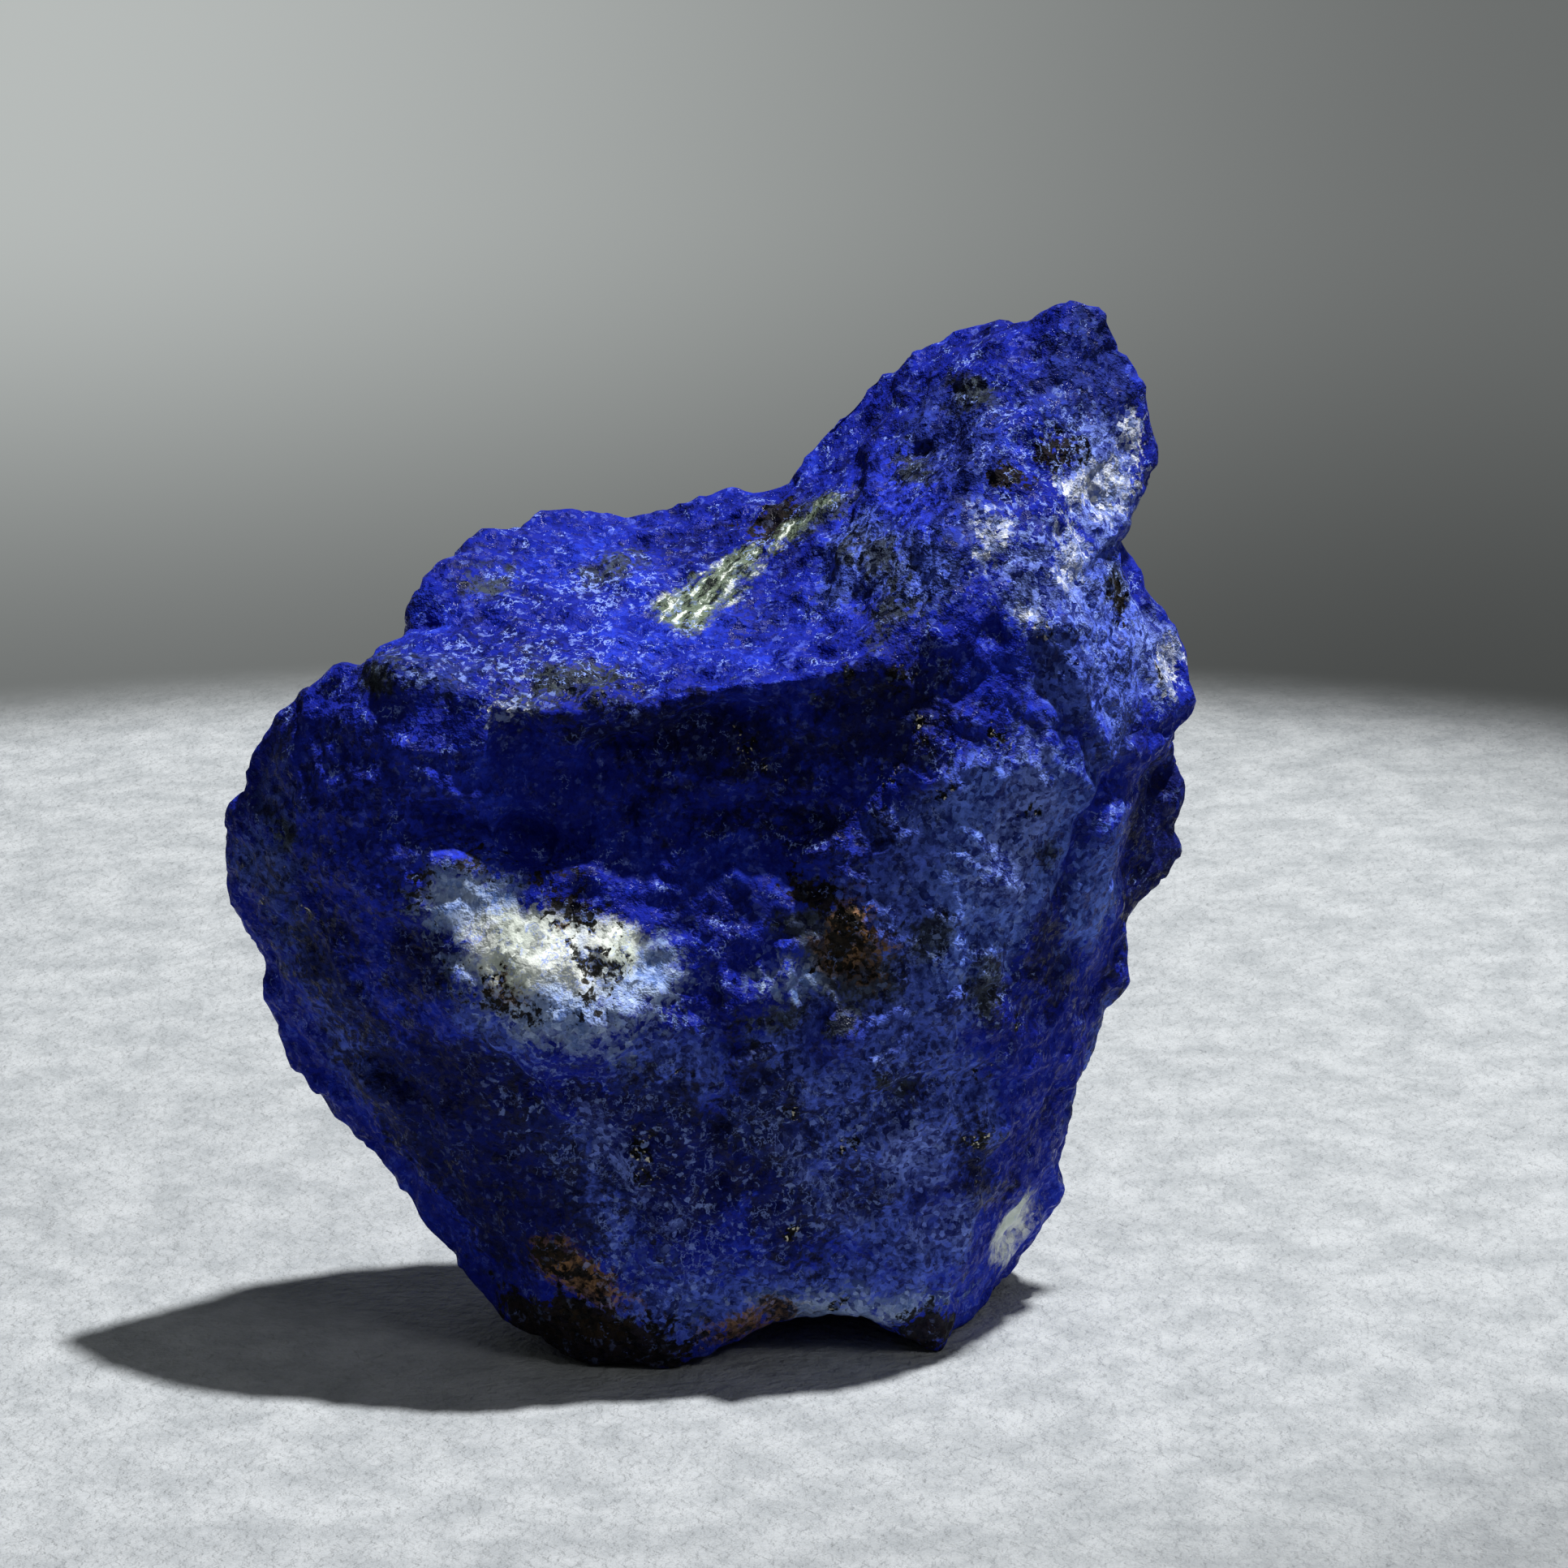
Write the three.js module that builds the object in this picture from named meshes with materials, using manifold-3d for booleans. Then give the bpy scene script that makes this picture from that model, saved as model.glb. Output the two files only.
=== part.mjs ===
// A rough, broken piece of lapis lazuli, modelled as one closed solid.
// Units are millimetres and +Z is up. The origin is under the middle of the stone, on the surface that it
// rests on. The stone is described by points on its skin, in groups that follow its ridges, faces and
// hollows. They are joined into a cage, which is split finer, eased where the rock is rounded, and broken
// into flakes.

import * as THREE from 'three';
import { ConvexHull } from 'three/addons/math/ConvexHull.js';
import { ImprovedNoise } from 'three/addons/math/ImprovedNoise.js';
import { mergeVertices } from 'three/addons/utils/BufferGeometryUtils.js';
import Module from 'manifold-3d';

const wasm = await Module();
wasm.setup();

// A point deep inside the stone, from which all of its skin can be seen.
const HEART = new THREE.Vector3(1, 3, 30);

// Longest edge after each round of splitting.
const COARSE_EDGE = 5;
const MIDDLE_EDGE = 3.1;
const FINE_EDGE = 1.85;

// Broken flakes: the size of a flake, how far flakes step in or out, and how far they tip over their width.
const FLAKES = [
  { size: 7, step: 0.4, tip: 0.7, salt: 3 },
  { size: 3.4, step: 0.26, tip: 0.4, salt: 11 },
];

// Soft waves of the broken skin: wavelength and height.
const WAVES = [
  { length: 9, height: 0.35 },
  { length: 3.2, height: 0.2 },
];

const FLOOR_CUT_DEPTH = 10;
const FLOOR_CUT_WIDTH = 200;

// Crest between the top plane and the dark front, from the left shoulder to the foot of the horn.
const FRONT_RIDGE = [
  [-16, -6.2, 37.3], [-14, -7.6, 37], [-12, -8.5, 36.2], [-10, -9.1, 35.5], [-7, -9.5, 35.5],
  [-5, -9.5, 36], [-3, -9.3, 36.1], [-1, -9.2, 36.3], [1, -9, 36.6], [3, -9, 36.9], [5.5, -9, 37.2],
  [8, -8.7, 37.6], [10.5, -8, 38.3],
];

// Rear rim of the top plane, with a notch where it meets the horn.
const TOP_RIM = [
  [-15.2, -1, 35.4], [-14.3, -1, 37.4], [-14.2, -0.6, 38.8], [-13.6, 0.6, 40], [-12.6, 2.4, 41],
  [-11.4, 5, 41.8], [-8.5, 7, 42.4], [-6, 7.5, 42.3], [-3.7, 7.5, 41.7], [-1, 8, 42.4], [1.4, 7.8, 43.6],
  [3, 7, 43.4],
];

// Top plane, a shallow valley that climbs to the rear.
const TOP_PLANE = [
  [-11.5, -3, 38], [-9.5, 1, 40], [-5.5, 3, 40], [-4.5, -4.5, 38], [-1, 0, 39.5],
  [2, 1, 40.3], [1.5, -4.5, 37.8], [4, -1, 39], [5.5, -6.5, 37.3], [4.6, 3.5, 42], [0, 4, 41.5],
];

// Crest of the horn, from its tip down to the front ridge.
const HORN_CREST = [
  [18.7, 3.4, 54.2], [18.1, 1.6, 52.4], [17, 0, 50], [15.5, -1.5, 48.5],
  [14, -3, 47], [13, -5, 44.4], [12.2, -6.5, 42], [11.6, -7.6, 40.2],
];

// Left rim of the horn.
const HORN_LEFT = [
  [16.6, 5, 53.2], [15.2, 6.5, 52.3], [13.5, 7, 51.9], [11.5, 7.5, 51.1], [9.2, 8, 49.5], [7.6, 8, 47.6],
  [5.9, 7.5, 46], [4.4, 7, 44.6],
];

// Broad, nearly flat left flank of the horn, which runs down into the top plane.
const HORN_FLANK = [
  [15, 3, 51.3], [12.5, 4, 49.8], [9.6, 4, 47], [12.5, 0, 47], [10, 1, 45.2], [7, 3.2, 44.5],
  [10, -3, 42.6], [7.5, -1, 41.4], [8, -4, 39.8], [9.8, -6, 39.9],
];

// Right rim of the horn, with its notch, down to the widest point on the right.
const HORN_RIGHT = [
  [20.9, 4, 53.7], [21.5, 4, 51.8], [22.6, 4, 49.4], [23.3, 5, 47], [23.5, 5, 45.2], [22.6, 5, 43.2],
  [21.1, 4, 41.4], [20.6, 7, 41.4], [22.5, 4, 39.6], [23.5, 3.5, 38], [24.7, 3, 35.5], [25.3, 2.5, 32.8],
  [24, 4, 31],
];

// Granular faces right of the horn's crest, on both sides of the second ridge.
const RIGHT_FACE = [
  [19, 1, 50.5], [19.2, -0.6, 47], [15, -5.2, 42], [14.2, -6.6, 38.5], [16.5, -6.4, 36],
  [20.6, -1, 42], [21.5, -0.6, 38.5], [22.6, -0.6, 35], [22.6, 0, 31.5],
];

// Second ridge, which turns the front into the right side.
const SECOND_RIDGE = [
  [18, -1.8, 47], [17.2, -3.8, 44], [17.6, -5.2, 41.5], [18, -6, 39], [18.8, -6.3, 36.5], [19.8, -5.8, 34],
  [20.8, -5, 32], [21.4, -4, 30], [21.6, -3.2, 27], [20.8, -2.4, 24.5],
];

// Lobe that shows behind the second ridge.
const REAR_LOBE = [
  [24.6, 6, 29], [24.7, 6.5, 27], [24.8, 6.5, 24], [24, 5.5, 22.5], [22.2, 4, 21], [22.2, 2.4, 27.5],
  [21.8, 2.4, 25],
];

// Thin edge of the left lobe, from the shoulder down to the left foot.
const LEFT_EDGE = [
  [-17.2, -4, 37], [-18.6, -4, 36.5], [-20, -3.5, 35.5], [-21.6, -3, 34], [-22.8, -2.5, 32],
  [-23.5, -2, 30.5], [-23.6, -2, 29.5], [-24.3, -1.5, 28.4], [-24.5, -1, 26.5], [-24.3, -1, 24],
  [-23.7, -1, 22], [-23, -1, 20], [-22.6, -1, 17.5], [-21.8, -1, 15], [-19.9, -1, 13], [-18.4, -1, 11.2],
  [-17.6, -1, 9.5], [-16.4, -1, 7.8], [-15, -1.5, 6.2], [-13.6, -2, 4.6], [-12.1, -2.8, 3],
  [-10.9, -4, 1.2],
];

// Left part of the front.
const LEFT_FRONT = [
  [-19.5, -5.8, 33.6], [-16.5, -7.6, 34.4], [-20, -6.5, 30], [-16, -8.8, 31], [-20.5, -6.5, 25.5],
  [-17, -9, 26.5], [-19.5, -6, 21], [-12, -9.3, 33], [-10.6, -9.5, 32], [-17, -6, 17.5],
];

// Bulge that stands out furthest in front.
const BULGE = [
  [-14.5, -9.9, 25.5], [-12.5, -9.8, 28.5], [-9, -9.7, 28], [-11, -10.9, 24.5], [-7, -10.8, 25],
  [-3.5, -10.4, 24.8], [-1, -10.2, 23.5], [-10.5, -12, 21], [-6, -12.1, 20.8], [-3, -11.6, 20.4],
  [-13.5, -10.4, 21],
];

// Hollow under the front ridge, in rows from its roof down to its floor.
const SCOOP = [
  [-9, -8.6, 34], [-6, -8.4, 34], [-2.5, -7.8, 34.2], [1, -7.4, 34.6], [5, -7.7, 35], [8.5, -8.3, 35.5],
  [-9, -7.8, 32], [-5, -7.2, 31.8], [-1, -7, 31.6], [2, -7.5, 32.2], [5, -7.6, 31.6], [8.4, -8.4, 32],
  [-8, -8.6, 29.6], [-4, -8, 29], [0, -7.8, 29], [4.5, -8.5, 29.6], [8, -8.9, 29.2],
  [-5, -9.3, 27], [-2.6, -9.1, 26.4], [1, -9.2, 26.2], [4, -9.6, 26.4],
];

// Right part of the front.
const RIGHT_FRONT = [
  [10.5, -8.5, 35], [13, -8.1, 34.5], [10.5, -9, 30.5], [14, -8.5, 29.5], [17.5, -6.5, 28], [9, -9.5, 25.5],
  [13, -9, 24], [17, -6, 23], [19.5, -2.5, 21], [3, -10, 23.5], [6.5, -10, 22.5],
];

// Lower front, which leans back towards the feet.
const LOWER_FRONT = [
  [0, -11, 19.5], [5, -10.5, 18.5], [10, -9.5, 18.5], [14, -7.5, 17.5], [17.5, -4, 16],
  [-7, -11, 16], [-3, -10.5, 14.5], [-12, -9, 16], [-15.5, -5, 13.5], [2, -10, 14],
  [6.5, -9.5, 13.5], [11.5, -8.5, 13.5], [15, -6, 12.5], [-12, -6, 10], [-8, -8.5, 10],
  [-4, -9.5, 9.5], [1, -9, 8.5], [6, -8.5, 8.5], [10.5, -7.5, 8.5], [14.5, -5.5, 8],
  [16.5, -2.5, 8], [-9, -7.4, 5.5], [-5, -8.4, 4.5], [-0.5, -8.4, 4.5], [4.5, -7.6, 4.5],
  [9, -6.8, 4.2], [12.5, -6, 3.6], [14.5, -1.5, 3.5],
];

// Right edge from the rear lobe down to the rear right foot.
const RIGHT_EDGE = [
  [22.5, 3, 20], [22.2, 3, 18], [21.2, 3, 16], [20.6, 3, 14], [19.6, 3, 12], [19, 3, 10],
  [18.7, 3.5, 8.5], [18.7, 4.5, 6], [17.8, 5.5, 4], [16.5, 7.5, 1.5],
];

// Rear of the stone: two broad broken faces that meet in a slanting ridge, with a hollow beside it.
const REAR = [
  [-12, 8, 37], [-16, 4, 35], [-20, 2, 31], [-21, 3, 26], [-16, 7, 30], [-10, 9.2, 31],
  [-4, 9.5, 36], [0, 10, 38.5], [5, 9.5, 42], [9, 10, 45], [13, 9.4, 48], [17, 8, 50],
  [20, 7.5, 47], [21.5, 8.3, 43], [22, 8.5, 38], [23.3, 8.5, 32], [22.8, 10, 26], [21.5, 9, 20],
  [20.4, 8.5, 14], [18.8, 9, 7], [16, 10.6, 40], [5, 10.4, 33], [-3, 10, 29], [17.5, 12, 32],
  [8, 12.4, 21], [-7, 10.6, 23], [-13, 8.6, 22], [-18, 6, 20], [-20, 3, 16], [-14, 7.5, 15],
  [-7, 9.4, 15], [8, 12.2, 13], [14, 12.5, 14], [-16, 4, 10], [-11, 6, 8], [-5, 8, 7],
  [2, 9.6, 6], [9, 11, 6], [14.5, 11, 6], [-12, 2, 4], [-8, 4.5, 2.5],
];

// Slanting ridge of the rear, from under the horn down to the left.
const REAR_RIDGE = [
  [14, 11.8, 37], [11.5, 13, 32.5], [8, 13.2, 28], [3.5, 13, 23.5], [-1, 12.2, 18.5], [-4, 10.8, 12],
];

// Underside: the feet reach below the resting surface and are cut off flat there, and a low arch stands
// clear of it in front.
const UNDERSIDE = [
  [-9.6, -5.6, 0.9], [-8, -7, 0.2], [-5, -8.2, -1.2], [-2, -8.2, -1.3], [0.8, -7.4, 0.1], [3.4, -6.6, 1.2],
  [6.4, -6, 1.4], [9, -5.8, 1.2], [10.8, -5.8, 0], [12.2, -5.8, -1.2], [13.6, -2, -1], [-5, -4, -1.4],
  [-2, -4, -1.4], [-8, -3, 0.2], [2, -2, 1.2], [6, -1, 1.4], [10, -1, 0.4], [-4, 2, -0.6],
  [1, 3, 0.6], [7, 4, 0.8], [12, 4, -1], [14.5, 4, -1.2], [15, 8, -1.4], [11, 9, -1.2],
  [6, 8.5, -0.4], [0, 7.5, -1.2], [-4, 6, -1.2], [-8, 2, 0.5],
];

// Groups that keep their crease, and groups that are rounded off.
const CRISP_GROUPS = [
  FRONT_RIDGE, TOP_RIM, HORN_CREST, HORN_RIGHT, SECOND_RIDGE, LEFT_EDGE, RIGHT_EDGE, REAR_LOBE, HORN_LEFT,
  REAR_RIDGE,
];
const SOFT_GROUPS = [
  TOP_PLANE, HORN_FLANK, RIGHT_FACE, LEFT_FRONT, BULGE, SCOOP, RIGHT_FRONT, LOWER_FRONT, REAR, UNDERSIDE,
];
const CRISP_EASE = 0.06;
const SOFT_EASE = 0.45;

// Join the cage points into one closed skin: seen from the heart, it is the hull of their directions.
function buildCage() {
  const spots = [];
  const eases = [];
  for (const [groups, ease] of [[CRISP_GROUPS, CRISP_EASE], [SOFT_GROUPS, SOFT_EASE]]) {
    for (const spot of groups.flat()) {
      spots.push(new THREE.Vector3(...spot));
      eases.push(ease);
    }
  }
  const directions = spots.map((spot) => spot.clone().sub(HEART).normalize());
  const indexOf = new Map(directions.map((direction, index) => [direction, index]));
  const triangles = [];
  for (const { edge } of new ConvexHull().setFromPoints(directions).faces) {
    triangles.push([edge, edge.next, edge.prev].map((side) => indexOf.get(side.head().point)));
  }
  return { spots, eases, triangles };
}

// Split every edge longer than the limit at its middle, until none is left.
function splitLongEdges(skin, limit) {
  const { spots, eases } = skin;
  let split = true;
  while (split) {
    const middles = new Map();
    const middleOf = (a, b) => {
      if (spots[a].distanceTo(spots[b]) <= limit) return -1;
      const key = Math.min(a, b) * 1e6 + Math.max(a, b);
      if (!middles.has(key)) {
        middles.set(key, spots.length);
        spots.push(spots[a].clone().lerp(spots[b], 0.5));
        eases.push(SOFT_EASE);
      }
      return middles.get(key);
    };
    const next = [];
    for (const [a, b, c] of skin.triangles) {
      next.push(...splitTriangle(spots, [a, b, c], [middleOf(a, b), middleOf(b, c), middleOf(c, a)]));
    }
    split = middles.size > 0;
    skin.triangles = next;
  }
}

// Split one triangle at those of its edges that have a middle point; -1 stands for an edge that stays whole.
function splitTriangle(spots, corners, middles) {
  const count = middles.filter((middle) => middle >= 0).length;
  if (count === 0) return [corners];
  const turn = (list, steps) => [...list.slice(steps), ...list.slice(0, steps)];
  if (count === 3) {
    const [a, b, c] = corners;
    const [ab, bc, ca] = middles;
    return [[a, ab, ca], [b, bc, ab], [c, ca, bc], [ab, bc, ca]];
  }
  if (count === 1) {
    const steps = middles.findIndex((middle) => middle >= 0);
    const [a, b, c] = turn(corners, steps);
    const ab = middles[steps];
    return [[a, ab, c], [ab, b, c]];
  }
  const steps = (middles.indexOf(-1) + 1) % 3;
  const [a, b, c] = turn(corners, steps);
  const [ab, bc] = turn(middles, steps);
  if (spots[a].distanceTo(spots[bc]) < spots[c].distanceTo(spots[ab])) {
    return [[ab, b, bc], [a, ab, bc], [a, bc, c]];
  }
  return [[ab, b, bc], [a, ab, c], [ab, bc, c]];
}

// Neighbours of every point of the skin.
function neighboursOf(skin) {
  const neighbours = skin.spots.map(() => new Set());
  for (const [a, b, c] of skin.triangles) {
    neighbours[a].add(b).add(c);
    neighbours[b].add(c).add(a);
    neighbours[c].add(a).add(b);
  }
  return neighbours;
}

// Move every point part of the way to the middle of its neighbours.
function easeSkin(skin, rounds) {
  const neighbours = neighboursOf(skin);
  for (let round = 0; round < rounds; round += 1) {
    skin.spots = skin.spots.map((spot, index) => {
      const middle = new THREE.Vector3();
      for (const other of neighbours[index]) middle.add(skin.spots[other]);
      middle.divideScalar(neighbours[index].size);
      return spot.clone().lerp(middle, skin.eases[index]);
    });
  }
}

// Outward direction at every point of the skin.
function normalsOf(skin) {
  const normals = skin.spots.map(() => new THREE.Vector3());
  for (const [a, b, c] of skin.triangles) {
    const side = skin.spots[b].clone().sub(skin.spots[a]);
    const face = side.cross(skin.spots[c].clone().sub(skin.spots[a]));
    for (const corner of [a, b, c]) normals[corner].add(face);
  }
  return normals.map((normal) => normal.normalize());
}

// A repeatable number between 0 and 1 for a cell of a lattice.
function cellValue(x, y, z, salt) {
  const wave = Math.sin(x * 127.1 + y * 311.7 + z * 74.7 + salt * 53.3) * 43758.5453;
  return wave - Math.floor(wave);
}

// Height of the flake that a point belongs to. Each flake is a small plane with its own step and tip.
function flakeHeight(spot, { size, step, tip, salt }) {
  const cell = spot.clone().divideScalar(size);
  const corner = cell.clone().floor();
  let nearest = Infinity;
  let height = 0;
  for (let dx = -1; dx <= 1; dx += 1) {
    for (let dy = -1; dy <= 1; dy += 1) {
      for (let dz = -1; dz <= 1; dz += 1) {
        const [x, y, z] = [corner.x + dx, corner.y + dy, corner.z + dz];
        const draw = (turn) => cellValue(x, y, z, salt + turn);
        const offset = new THREE.Vector3(x + draw(0), y + draw(1), z + draw(2)).sub(cell);
        const distance = offset.length();
        if (distance >= nearest) continue;
        nearest = distance;
        const tilt = new THREE.Vector3(draw(3) - 0.5, draw(4) - 0.5, draw(5) - 0.5);
        height = step * (draw(6) - 0.5) + tip * tilt.dot(offset);
      }
    }
  }
  return height;
}

// Break the skin up into flakes and soft waves.
function roughenSkin(skin) {
  const noise = new ImprovedNoise();
  const normals = normalsOf(skin);
  skin.spots = skin.spots.map((spot, index) => {
    let height = 0;
    for (const flakes of FLAKES) height += flakeHeight(spot, flakes);
    for (const wave of WAVES) {
      const place = spot.clone().divideScalar(wave.length);
      height += wave.height * noise.noise(place.x + 40, place.y + 40, place.z + 40);
    }
    return spot.clone().addScaledVector(normals[index], height);
  });
}

// Geometry of the skin.
function skinGeometry(skin) {
  const geometry = new THREE.BufferGeometry();
  const numbers = skin.spots.flatMap((spot) => spot.toArray());
  geometry.setAttribute('position', new THREE.Float32BufferAttribute(numbers, 3));
  geometry.setIndex(skin.triangles.flat());
  return geometry;
}

// A solid for joining and cutting, from a closed geometry.
function solidFrom(geometry) {
  const bare = geometry.clone();
  bare.deleteAttribute('normal');
  bare.deleteAttribute('uv');
  const merged = mergeVertices(bare);
  const vertProperties = Float32Array.from(merged.attributes.position.array);
  const triVerts = Uint32Array.from(merged.index.array);
  return new wasm.Manifold(new wasm.Mesh({ numProp: 3, vertProperties, triVerts }));
}

// Geometry of a solid.
function geometryFrom(solid) {
  const mesh = solid.getMesh();
  const geometry = new THREE.BufferGeometry();
  geometry.setAttribute('position', new THREE.Float32BufferAttribute(mesh.vertProperties, 3));
  geometry.setIndex(Array.from(mesh.triVerts));
  return geometry;
}

// Flatten the feet where the stone stands on the surface.
function flattenFeet(geometry) {
  const below = new THREE.BoxGeometry(FLOOR_CUT_WIDTH, FLOOR_CUT_WIDTH, FLOOR_CUT_DEPTH);
  below.translate(0, 0, -FLOOR_CUT_DEPTH / 2);
  return geometryFrom(solidFrom(geometry).subtract(solidFrom(below)));
}

// Put the origin under the middle of the stone.
function centreOnFloor(geometry) {
  geometry.computeBoundingBox();
  const { min, max } = geometry.boundingBox;
  geometry.translate(-(min.x + max.x) / 2, -(min.y + max.y) / 2, -min.z);
  return geometry;
}

function stoneGeometry() {
  const skin = buildCage();
  splitLongEdges(skin, COARSE_EDGE);
  easeSkin(skin, 1);
  splitLongEdges(skin, MIDDLE_EDGE);
  easeSkin(skin, 1);
  splitLongEdges(skin, FINE_EDGE);
  roughenSkin(skin);
  const geometry = centreOnFloor(flattenFeet(skinGeometry(skin)));
  geometry.computeVertexNormals();
  return geometry;
}

const lapis = new THREE.MeshStandardMaterial({ color: 0x1b2a8f, roughness: 0.7, metalness: 0 });
const stone = new THREE.Mesh(stoneGeometry(), lapis);
stone.name = 'stone';

const specimen = new THREE.Group();
specimen.add(stone);

export default specimen;
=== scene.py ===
"""The looks of a rough piece of lapis lazuli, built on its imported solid.

Lengths are in millimetres up to the point where a mesh is handed to Blender, which works in metres.
"""

import itertools
import math

import bpy
import numpy as np
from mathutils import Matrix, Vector


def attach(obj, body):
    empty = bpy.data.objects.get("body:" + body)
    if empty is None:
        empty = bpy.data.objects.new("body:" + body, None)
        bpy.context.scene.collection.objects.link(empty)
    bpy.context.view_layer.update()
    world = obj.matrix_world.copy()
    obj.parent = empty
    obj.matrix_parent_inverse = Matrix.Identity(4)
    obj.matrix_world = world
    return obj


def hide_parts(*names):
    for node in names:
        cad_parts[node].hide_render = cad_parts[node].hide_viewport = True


MM = 0.001

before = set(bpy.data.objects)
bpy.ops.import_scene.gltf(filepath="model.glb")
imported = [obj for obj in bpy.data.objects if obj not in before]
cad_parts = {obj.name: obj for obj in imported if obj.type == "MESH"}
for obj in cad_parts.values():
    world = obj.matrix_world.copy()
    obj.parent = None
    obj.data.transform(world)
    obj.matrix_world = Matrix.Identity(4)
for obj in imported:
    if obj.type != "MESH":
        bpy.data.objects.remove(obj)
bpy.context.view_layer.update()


# ---------------------------------------------------------------- repeatable noise

# Odd numbers that scramble the place of a cell, and the largest number they leave.
CELL_FACTORS = (73856093, 19349663, 83492791)
SALT_FACTOR = 668265263
MIX_FACTORS = (73244475, 295559667)
WORD = 0xFFFFFFFF

# The centre of a cell keeps this share of the cell's width from its low side, and strays by the second share.
CELL_MARGIN = 0.1
CELL_SPREAD = 0.8

TILT_SALT = 101
RISE_SALT = 202


def lattice_random(cells, salt):
    """Three repeatable numbers from 0 to 1 for each whole-number cell."""
    cells = cells.astype(np.int64)
    mixed = np.full(cells.shape[:-1], salt * SALT_FACTOR)
    for axis, factor in enumerate(CELL_FACTORS):
        mixed = mixed ^ cells[..., axis] * factor
    numbers = []
    for _ in range(3):
        low = mixed & WORD
        mixed = (low ^ (low >> 15)) * MIX_FACTORS[0] & WORD
        mixed = (mixed ^ (mixed >> 13)) * MIX_FACTORS[1] & WORD
        numbers.append((mixed ^ (mixed >> 16)) / (WORD + 1))
    return np.stack(numbers, axis=-1)


def soft_noise(points, size, salt):
    """Smooth noise from -1 to 1, with lumps about size across."""
    scaled = points / size
    base = np.floor(scaled)
    part = scaled - base
    ease = part * part * (3 - 2 * part)
    total = np.zeros(len(points))
    for corner in itertools.product((0, 1), repeat=3):
        weight = np.where(corner, ease, 1 - ease).prod(axis=1)
        total += weight * lattice_random(base + corner, salt)[:, 0]
    return 2 * total - 1


def layered_noise(points, size, salt, layers=3):
    """Soft noise with finer and weaker copies of itself on top."""
    total = np.zeros(len(points))
    for layer in range(layers):
        total += soft_noise(points, size / 2 ** layer, salt + layer) / 2 ** layer
    return total


def nearest_cells(points, size, salt):
    """The two scattered centres nearest each point: their cells, and the ways from them, in millimetres."""
    scaled = points / size
    base = np.floor(scaled)
    count = len(points)
    cells = np.zeros((2, count, 3))
    ways = np.zeros((2, count, 3))
    spans = np.full((2, count), np.inf)
    for corner in itertools.product((-1, 0, 1), repeat=3):
        cell = base + corner
        way = scaled - cell - CELL_MARGIN - CELL_SPREAD * lattice_random(cell, salt)
        span = np.sqrt((way * way).sum(axis=1))
        first = span < spans[0]
        second = ~first & (span < spans[1])
        for kept, fresh in ((cells, cell), (ways, way), (spans, span)):
            kept[1][first] = kept[0][first]
            kept[0][first] = fresh[first]
            kept[1][second] = fresh[second]
    return cells, ways * size, spans * size


def flake_height(points, size, slope, step, seam, salt):
    """Height of a skin broken into flat flakes about size across, each tilted and raised its own way."""
    cells, ways, spans = nearest_cells(points, size, salt)
    heights = []
    for cell, way in zip(cells, ways):
        tilt = lattice_random(cell, salt + TILT_SALT) - 0.5
        rise = lattice_random(cell, salt + RISE_SALT)[:, 0] - 0.5
        heights.append(2 * slope * (way * tilt).sum(axis=1) + step * rise)
    near = np.clip((spans[1] - spans[0]) / seam, 0, 1)
    share = 0.5 + 0.5 * near
    return heights[0] * share + heights[1] * (1 - share)


def smooth_step(value, low, high):
    """0 at low, 1 at high, and an even curve between."""
    part = np.clip((value - low) / (high - low), 0, 1)
    return part * part * (3 - 2 * part)


# ---------------------------------------------------------------- mesh arrays

# Corners that agree to this many digits of a millimetre are one corner.
WELD_DIGITS = 3

# How much of what subdivision takes off a ridge is added beforehand, above the flat spots that it rests on.
FIRMNESS = 1.1
FLAT_BELOW = 0.05


def solid_arrays(node):
    """The corners of a CAD node, in millimetres and each once, and its triangles."""
    mesh = node.data
    places = np.empty(len(mesh.vertices) * 3)
    mesh.vertices.foreach_get("co", places)
    places = places.reshape(-1, 3) / MM
    mesh.calc_loop_triangles()
    triangles = np.empty(len(mesh.loop_triangles) * 3, dtype=np.int64)
    mesh.loop_triangles.foreach_get("vertices", triangles)
    rounded = np.round(places, WELD_DIGITS)
    _, first, where = np.unique(rounded, axis=0, return_index=True, return_inverse=True)
    return places[first], where.reshape(-1)[triangles].reshape(-1, 3)


def sum_at(count, index, values):
    """Adds each row of values to the row of the result that index names."""
    columns = [np.bincount(index, weights=values[:, axis], minlength=count) for axis in range(3)]
    return np.stack(columns, axis=1)


def edge_ends(triangles):
    """The two ends of every side of every triangle, with the lower corner number first."""
    return np.sort(triangles[:, [0, 1, 1, 2, 2, 0]].reshape(-1, 2), axis=1)


def subdivide(places, triangles):
    """One round of Loop subdivision: each triangle becomes four, and the skin turns smoother."""
    edges, which = np.unique(edge_ends(triangles), axis=0, return_inverse=True)
    which = which.reshape(-1)
    wings = sum_at(len(edges), which, places[triangles[:, [2, 0, 1]].reshape(-1)])
    middles = 3 / 8 * (places[edges[:, 0]] + places[edges[:, 1]]) + 1 / 8 * wings
    count = len(places)
    around = sum_at(count, edges[:, 0], places[edges[:, 1]]) + sum_at(count, edges[:, 1], places[edges[:, 0]])
    valence = np.bincount(edges.reshape(-1), minlength=count)[:, None]
    share = 5 / 8 - (3 / 8 + 1 / 4 * np.cos(2 * math.pi / valence)) ** 2
    corners = places * (1 - share) + around / valence * share
    a, b, c = triangles.T
    ab, bc, ca = (which.reshape(-1, 3) + count).T
    parts = [(a, ab, ca), (ab, b, bc), (ca, bc, c), (ab, bc, ca)]
    return np.concatenate([corners, middles]), np.concatenate([np.stack(part, axis=1) for part in parts])


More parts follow.
